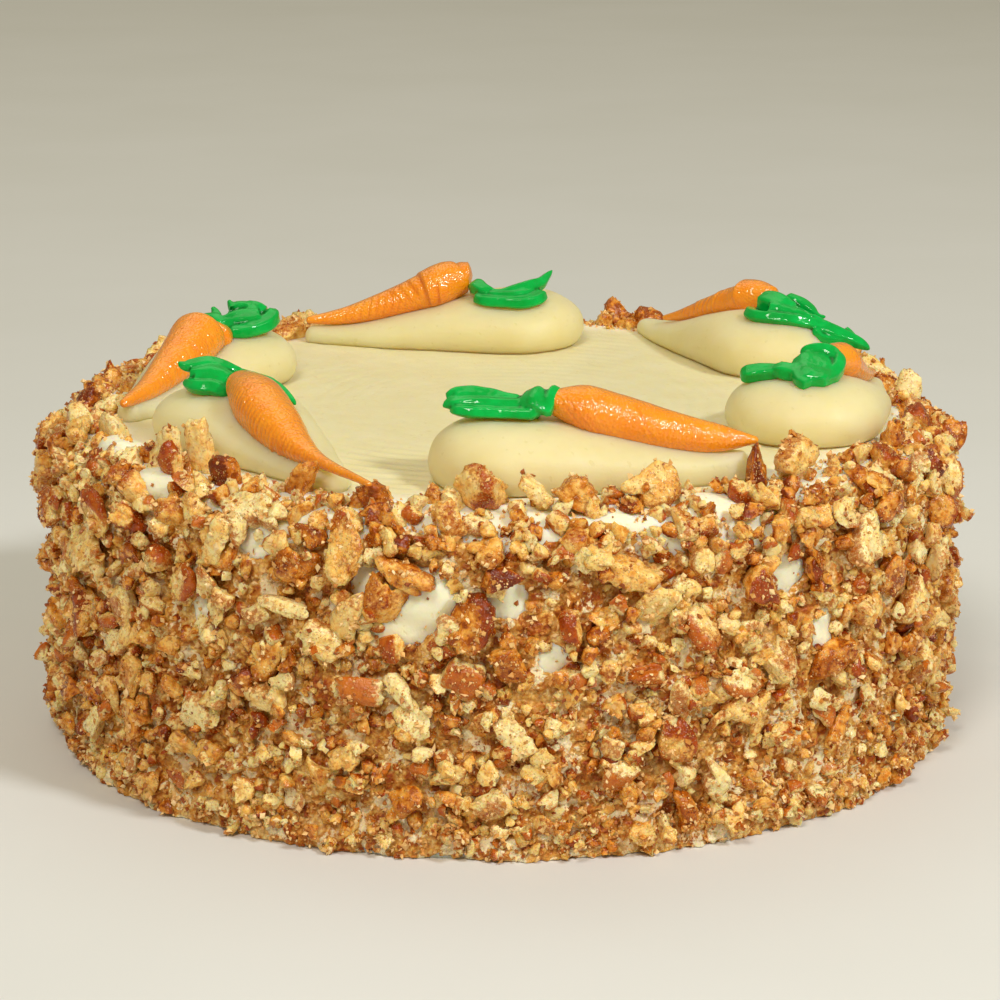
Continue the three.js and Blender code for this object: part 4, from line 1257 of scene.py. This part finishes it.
# The strands of icing squeezed into each leaf: along, aside, height, half width and half thickness
# at points along each strand, in the frame of the leaf's teardrop
LEAVES = {
    "front": {
        "upper": [(-13.3, 1.7, 17.1, 0.5, 0.5), (-11.6, 2.7, 17.7, 1.8, 1.4),
                  (-8.2, 2.6, 17.9, 2.2, 1.6), (-4.5, 2.6, 17.6, 2.2, 1.5),
                  (-1, 2, 16.9, 2.2, 1.4), (3, 1, 16.4, 2, 1.4)],
        "middle": [(-14.2, 0.2, 15.6, 0.3, 0.3), (-12.4, 0.7, 16.1, 1.8, 1.3),
                   (-9.3, 0.7, 16.5, 2.4, 1.7), (-5, 0.6, 16.3, 2.6, 1.7),
                   (-1, 0, 15.8, 2.6, 1.7), (3.8, -0.6, 15.5, 2.4, 1.6)],
        "lower": [(-12.8, -0.8, 14.9, 0.4, 0.4), (-10.4, -1.8, 15.3, 1.8, 1.3),
                  (-6.2, -2.1, 15.1, 2.1, 1.4), (-2, -2.4, 15, 2.1, 1.4),
                  (2, -2.8, 14.9, 2.1, 1.4), (6.2, -3.5, 14.9, 1.8, 1.3)],
        "core": [(-11, 0.2, 16, 2.2, 1.4), (-6, 0, 15.6, 2.8, 2.2), (0, 0, 15.4, 3, 2.2),
                 (7.4, 0, 15.4, 3, 2.2)],
        "bulb": [(4.2, -4.1, 15.2, 2, 1.5), (5, -2.1, 16.5, 2.9, 2.3), (5.7, 0.4, 17.3, 2.9, 2.5),
                 (6.4, 2.4, 17.8, 2.3, 1.9)],
        "fold": [(7.5, -4.6, 14.7, 0.8, 0.8), (7.9, -3.1, 15.8, 1.2, 1.4), (8.5, -1.1, 17.3, 1.4, 1.7),
                 (9.3, 0.8, 18.3, 1.4, 1.6), (10.2, 2.3, 18.6, 1, 1.1)],
    },
    "right": {
        "flat": [(-6, 14, 12.8, 1.4, 1.1), (-5.2, 12.4, 12.8, 2.6, 1.9), (-4.5, 9.9, 13.3, 2.7, 2),
                 (-4.2, 7.1, 13.7, 2.4, 1.9), (-4.1, 4.8, 14, 1.8, 1.6)],
        "twist": [(-4.4, 6.4, 14, 1.5, 1.4), (-4.4, 4.2, 14.2, 2.2, 2), (-4.4, 2.1, 14, 2.2, 2),
                  (-4.7, 0.5, 13.5, 1.8, 1.8)],
        "nub": [(-3.8, 4.2, 15, 0.9, 0.9), (-2.1, 5.3, 15.8, 0.35, 0.35)],
        "lobe": [(1.9, 0.7, 16.7, 3.2, 1.8), (0, -0.9, 15.7, 4.4, 2.2), (-2.8, -2.2, 14.3, 4.7, 2.4),
                 (-5.6, -3.4, 13.2, 4.2, 2.2), (-8.1, -3.9, 12.2, 3, 1.6)],
        "rim": [(0.6, 2.1, 17.3, 1.2, 1.2), (2.9, 0, 17.8, 1.6, 1.6), (4.4, -3.1, 17.5, 1.7, 1.8),
                (3.5, -5.8, 15.9, 1.7, 2), (0.5, -6.6, 14.3, 1.7, 2), (-3, -6.1, 12.7, 1.6, 1.9),
                (-6.7, -5.5, 11.8, 1.5, 1.5)],
        "rib": [(-2.6, 2.8, 15.1, 1.2, 1.4), (-5.2, 0.3, 14, 1.5, 1.8), (-7.9, -2.2, 12.8, 1.5, 1.6),
                (-8.6, -4.1, 12.2, 1.2, 1.2)],
    },
    "right_back": {
        "bulb": [(2.7, 2, 16, 2.2, 2), (-0.3, 1.3, 15.6, 3.4, 2.9), (-3.5, 0.3, 15, 3.4, 2.7),
                 (-6.9, -0.9, 13.7, 2.6, 2)],
        "back": [(0, -3.3, 16.5, 1.4, 1.4), (-3, -4.9, 15.3, 1.9, 1.8), (-6.2, -6, 14, 1.7, 1.6),
                 (-8.6, -6.7, 12.8, 0.8, 0.8), (-9.9, -8.5, 12.6, 0.3, 0.3)],
        "loop": [(2.1, 4.6, 14.1, 1.2, 1.2), (0.2, 7.1, 13.4, 1.6, 1.5), (-3.2, 7.5, 12.9, 1.8, 1.6),
                 (-6.7, 5.2, 12.6, 1.9, 1.6), (-9.6, 2, 12, 1.9, 1.6), (-11.4, -1.2, 11.9, 1.9, 1.6),
                 (-12.3, -4.2, 12.1, 1.6, 1.4)],
        "tail": [(-9.2, -2.4, 12.8, 2, 1.6), (-13, -4.2, 11.2, 2.2, 1.8), (-16.4, -6.4, 9.8, 2.2, 1.8),
                 (-18.7, -8.8, 8.4, 1.8, 1.6), (-20.3, -10.9, 7.2, 1.2, 1.2),
                 (-21.4, -12.5, 6, 0.4, 0.4)],
        "under": [(-13, -1, 10.4, 1, 1), (-15.3, -3.2, 9, 1.3, 1.3), (-17.4, -6.1, 8.5, 1.3, 1.3),
                  (-19.5, -9, 7.3, 0.9, 0.9)],
        "spike": [(-18.5, -9.3, 8.8, 1, 1), (-17.1, -9.1, 10.3, 0.7, 0.7),
                  (-16.3, -8.8, 11.4, 0.25, 0.25)],
        "core": [(-2.3, 3.7, 14, 3, 2.4), (-6.9, 0.7, 13, 3, 2), (-11.6, -2.3, 11.4, 2.4, 1.8)],
    },
    "back": {
        "knob": [(10.8, 1.3, 13.4, 1.5, 1.6), (9.5, 4.2, 14.5, 2.2, 2), (8.1, 6.7, 14, 2, 1.8),
                 (6.1, 8.3, 13.3, 1.8, 1.6)],
        "lower": [(10.6, 6.5, 12.4, 1.4, 1.4), (7.4, 9.7, 12.1, 2, 1.6), (3, 11.1, 12.1, 2.1, 1.6),
                  (-1.2, 11.5, 12, 2.1, 1.7), (-5, 9.7, 12.5, 2, 1.7), (-6.6, 6.6, 13.6, 1.4, 1.4)],
        "core": [(8.4, 7.6, 12.6, 1.6, 1.6), (3.4, 9.7, 12.7, 1.8, 1.8), (-1, 9.4, 13, 1.8, 1.8),
                 (-4.8, 6.8, 13.8, 1.2, 1.2)],
        "upper": [(8.1, 7.1, 13.3, 1.8, 1.6), (4.1, 8.3, 13.3, 1.9, 1.5), (0.4, 7.4, 14.1, 2.1, 1.7),
                  (-3.3, 5.9, 14.8, 2, 1.8), (-6.1, 3.6, 15.3, 1.5, 1.6), (-7.8, 1, 16.6, 0.9, 1),
                  (-9.3, -1.1, 17.8, 0.3, 0.3)],
    },
    "left_back": {
        "outer": [(6.1, 3.5, 12.6, 1.5, 1.4), (4.2, 6.5, 12.6, 2.2, 1.7), (1.5, 8.8, 13.1, 2.3, 1.9),
                  (-1.3, 10.3, 14, 2.2, 2), (-3.6, 10.5, 15.1, 1.9, 1.9), (-5, 8.7, 16.1, 1.5, 1.5)],
        "ring": [(2.7, 0.1, 14.4, 1.3, 1.3), (2.7, 2.5, 13.9, 1.6, 1.6), (1.5, 5.1, 14.1, 1.8, 1.7),
                 (-1.6, 6.1, 15.3, 1.8, 1.8), (-3.1, 4.6, 16.6, 1.6, 1.7), (-2.6, 2.2, 17, 1.4, 1.5),
                 (-1.3, 0.4, 16.4, 1.1, 1.2)],
        "eye": [(0.9, 0.5, 15.3, 1.2, 1.3), (0.4, 2.7, 14.9, 1.4, 1.3), (-1.2, 3.9, 15.4, 1.4, 1.4)],
        "top": [(-3.7, 3.4, 17, 1.5, 1.5), (-4.8, 5.8, 16.6, 1.7, 1.6), (-4.8, 8.2, 15.6, 1.5, 1.5)],
        "left": [(2.5, -5.6, 15.2, 0.5, 0.5), (2.7, -3.6, 14.9, 1.3, 1.2), (2.8, -1.4, 14.6, 1.6, 1.5),
                 (4.1, 1.9, 13.4, 1.6, 1.5)],
        "spike": [(1.6, -1.2, 14.8, 1.2, 1.2), (0.6, -2.6, 16, 0.9, 0.9), (0.1, -3.8, 17.2, 0.3, 0.3)],
        "point": [(-1.2, 1.5, 16.5, 1.2, 1.3), (-1.8, 0.3, 17.7, 0.8, 0.8), (-2, -0.4, 18.8, 0.3, 0.3)],
        "core": [(3, 0.6, 13.8, 1.6, 1.6), (0.4, 4, 14.6, 3.2, 2.4), (-2.6, 8.3, 14.8, 3, 2.2)],
    },
    "left_front": {
        "upper": [(-4.5, -9.9, 17.3, 0.25, 0.25), (-3.8, -8.6, 16.3, 1.1, 1.1),
                  (-3.6, -6.3, 16, 1.8, 1.6), (-3, -3.2, 16.1, 2.1, 1.8),
                  (-1.4, -0.5, 15.5, 1.9, 1.6), (0, 1.8, 14.6, 1.4, 1.3), (1, 3.7, 14, 1, 1)],
        "middle": [(-2.4, -8.1, 14.6, 1.4, 1.4), (-0.7, -6.2, 14.6, 2.1, 1.9),
                   (0.3, -3.5, 14.6, 2.3, 2.1), (2.1, -1.3, 13.8, 2, 1.8),
                   (3.1, 0.4, 13.4, 1.3, 1.3)],
        "lower": [(-2.9, -9, 13.5, 0.3, 0.3), (-0.5, -9, 12.8, 1.3, 1.3), (2.5, -7.7, 12.7, 2, 1.7),
                  (4.2, -5.7, 12.7, 2.1, 1.7), (6.7, -4.4, 12.2, 1.7, 1.5), (8.5, -4.3, 11.6, 1, 1)],
        "core": [(-1.4, -7.3, 14.3, 2.2, 1.8), (1.1, -4.1, 14, 3.2, 2.6), (5.1, -1.2, 13.1, 2.4, 2)],
        "strip": [(-0.2, 2.8, 14.2, 1.1, 1.1), (3.5, 3.9, 14.4, 0.8, 0.8), (7.9, 4.7, 14.4, 0.6, 0.6),
                  (11.6, 5.5, 14, 0.8, 0.8), (15.8, 5.6, 13.3, 0.9, 0.9), (18.9, 5.7, 12.2, 0.9, 0.9),
                  (22.3, 5.7, 11.1, 0.5, 0.5)],
    },
}
LEAF_CLOSE = 0.35  # strands are thickened by this many mm and drawn in again, to fill narrow gaps

# What merges the strands of a leaf into one skin, evens it and draws it in
LEAF_STEPS = [
    ("REMESH", {"mode": "VOXEL", "voxel_size": 0.2}),
    ("SMOOTH", {"iterations": 3}),
    ("DISPLACE", {"mid_level": 0, "strength": -LEAF_CLOSE}),
    ("SMOOTH", {"iterations": 4}),
    ("DECIMATE", {"ratio": 0.2}),
]


def strand(drop, path, seed):
    """One squeezed strand of icing with faint ribs along it, never sunk into the teardrop."""
    count, cols = 60, 28
    rows = curve_through(path, count)
    half_sizes = np.maximum(rows[:, 3:], 0.2)
    skin = skin_height(drop, rows[:, 0], rows[:, 1])
    middle = rows[:, :3].copy()
    middle[:, 2] = np.maximum(middle[:, 2], skin + 0.5 * half_sizes[:, 1])
    tangent = np.gradient(middle, axis=0)
    tangent /= np.linalg.norm(tangent, axis=1, keepdims=True)
    side = np.cross(tangent, (0, 0, 1))
    side /= np.linalg.norm(side, axis=1, keepdims=True)
    up = np.cross(side, tangent)
    steps = np.arange(count)
    rounding = np.sqrt(np.clip(np.minimum(steps, steps[::-1]) / 4, 0.02, 1))[:, None]
    theta = even_angles(cols)
    swell = rounding * (1 + 0.08 * np.cos(5 * theta + seed))
    wide, thick = (half_sizes[:, i, None] * swell + LEAF_CLOSE for i in (0, 1))
    points = (middle[:, None] + side[:, None] * (wide * np.cos(theta))[..., None]
              + up[:, None] * (thick * np.sin(theta))[..., None])
    return np.vstack([points.reshape(-1, 3), middle[[0, -1]]]), tube_triangles(count, cols)


def hollows(points, faces):
    """How hollow a skin is at each of its points, from 0 to 1."""
    corners = points[faces]
    facing = np.cross(corners[:, 1] - corners[:, 0], corners[:, 2] - corners[:, 0])
    normal, around = np.zeros(points.shape), np.zeros(points.shape)
    length, count = np.zeros(len(points)), np.zeros(len(points))
    for i in range(3):
        edge = corners[:, (i + 1) % 3] - corners[:, i]
        for total, value in ((normal, facing), (around, edge),
                             (length, np.linalg.norm(edge, axis=1)), (count, 1)):
            np.add.at(total, faces[:, i], value)
    normal /= np.maximum(np.linalg.norm(normal, axis=1, keepdims=True), 1e-9)
    hollow = np.sum(around * normal, 1) / np.maximum(length, 1e-9)
    for _ in range(2):
        total = np.zeros(len(points))
        for i in range(3):
            np.add.at(total, faces[:, i], hollow[faces[:, (i + 1) % 3]])
        hollow = 0.5 * hollow + 0.5 * total / np.maximum(count, 1)
    return smooth_step(0.0, 0.13, hollow)


def leaf(name, place, drop):
    """A leaf of green icing: several strands squeezed into one another, merged into one skin."""
    points, faces, total = [], [], 0
    for i, path in enumerate(LEAVES[name].values()):
        p, f = strand(drop, path, 11 * i + len(name))
        points.append(p)
        faces.append(f + total)
        total += len(p)
    points = np.concatenate(points)
    points += 0.12 * np.stack([noise(points, 2.6, len(name) + i) for i in range(3)], -1)
    points, faces, _ = modified(points, np.concatenate(faces), LEAF_STEPS)
    # The attribute "hollow" carries the painted shade in the leaf's hollows
    new_piece("leaf_icing_" + name, to_cake(points, place), faces, LEAF, "leaf_icing",
              ("leaf_" + name,), {"hollow": hollows(points, faces)})


# ------------------------------------------------------------------ the cake

# PALE is the frosting's paleness, partly painted light on the side and rim
*BODY, PALE = iced_body()
new_piece("iced_cake", *BODY, BODY_ICING, "frosting", ("frosted_cake",), {"pale": PALE})
nut_coat(BODY)
for set_name, (set_place, set_drop, set_carrot) in SETS.items():
    teardrop(set_name, set_place, set_drop)
    carrot_root(set_name, set_place, set_carrot)
    leaf(set_name, set_place, set_drop)


# ------------------------------------------------------------------ stage, light and camera

FLOOR_CORNERS = [(-6, -4, 0), (6, -4, 0), (6, 8, 0), (-6, 8, 0)]
FLOOR_GREYS = linear(227, 227, 223), linear(224, 224, 219)

# name, place, what it is aimed at, size across in m, power in W, colour
LIGHTS = [
    ("key", (0.95, -0.82, 1.12), (0, 0, 0.04), 0.25, 14.0, (0.95, 0.98, 1.0)),
    ("front", (-0.3, -1.18, 1.3), (0, 0, 0.04), 0.5, 12.6, (1.0, 0.97, 0.92)),
    ("overhead", (-0.3, 1.1, 1.7), (0, 1.3, 0.0), 1.8, 7, (1.0, 0.96, 0.86)),
]
WORLD_COLOUR = (1.0, 0.89, 0.6, 1)
WORLD_STRENGTH = 0.28

# The camera that was fitted to the photo
CAMERA_PLACE = (0.0, -0.7296, 0.244)
CAMERA_PITCH = 14.90  # degrees down from level
FOCAL_LENGTH = 3248.0  # pixels of the photo
PHOTO_WIDTH = 1000.0  # pixels
SENSOR_WIDTH = 36.0


def floor():
    """A wide pale floor that fills the view."""
    mesh = bpy.data.meshes.new("floor")
    mesh.from_pydata(FLOOR_CORNERS, [], [(0, 1, 2, 3)])
    n = Nodes("pale_floor")
    mesh.materials.append(n.finish(Base_Color=n.mix(n.spread(n.noise(120)), *FLOOR_GREYS),
                                   Roughness=0.7, Specular_IOR_Level=0.2))
    plane = bpy.data.objects.new("floor", mesh)
    bpy.context.scene.collection.objects.link(plane)


def area_light(name, place, target, size, power, colour):
    """A round soft light aimed at the target."""
    lamp = bpy.data.lights.new(name, "AREA")
    lamp.shape = "DISK"
    lamp.size = size
    lamp.energy = power
    lamp.color = colour
    item = bpy.data.objects.new(name, lamp)
    item.location = place
    aim = Vector(target) - Vector(place)
    item.rotation_euler = aim.to_track_quat("-Z", "Y").to_euler()
    bpy.context.scene.collection.objects.link(item)


def daylight():
    """An even warm light from all round."""
    world = bpy.data.worlds.new("studio")
    world.use_nodes = True
    background = world.node_tree.nodes["Background"]
    background.inputs["Color"].default_value = WORLD_COLOUR
    background.inputs["Strength"].default_value = WORLD_STRENGTH
    bpy.context.scene.world = world


def camera():
    """The view that the photo was taken from."""
    lens = bpy.data.cameras.new("camera")
    lens.sensor_width = SENSOR_WIDTH
    lens.lens = FOCAL_LENGTH * SENSOR_WIDTH / PHOTO_WIDTH
    item = bpy.data.objects.new("camera", lens)
    item.location = CAMERA_PLACE
    item.rotation_euler = (math.radians(90 - CAMERA_PITCH), 0, 0)
    bpy.context.scene.collection.objects.link(item)
    bpy.context.scene.camera = item


floor()
for light in LIGHTS:
    area_light(*light)
daylight()
bpy.context.scene.view_settings.view_transform = "Standard"
camera()
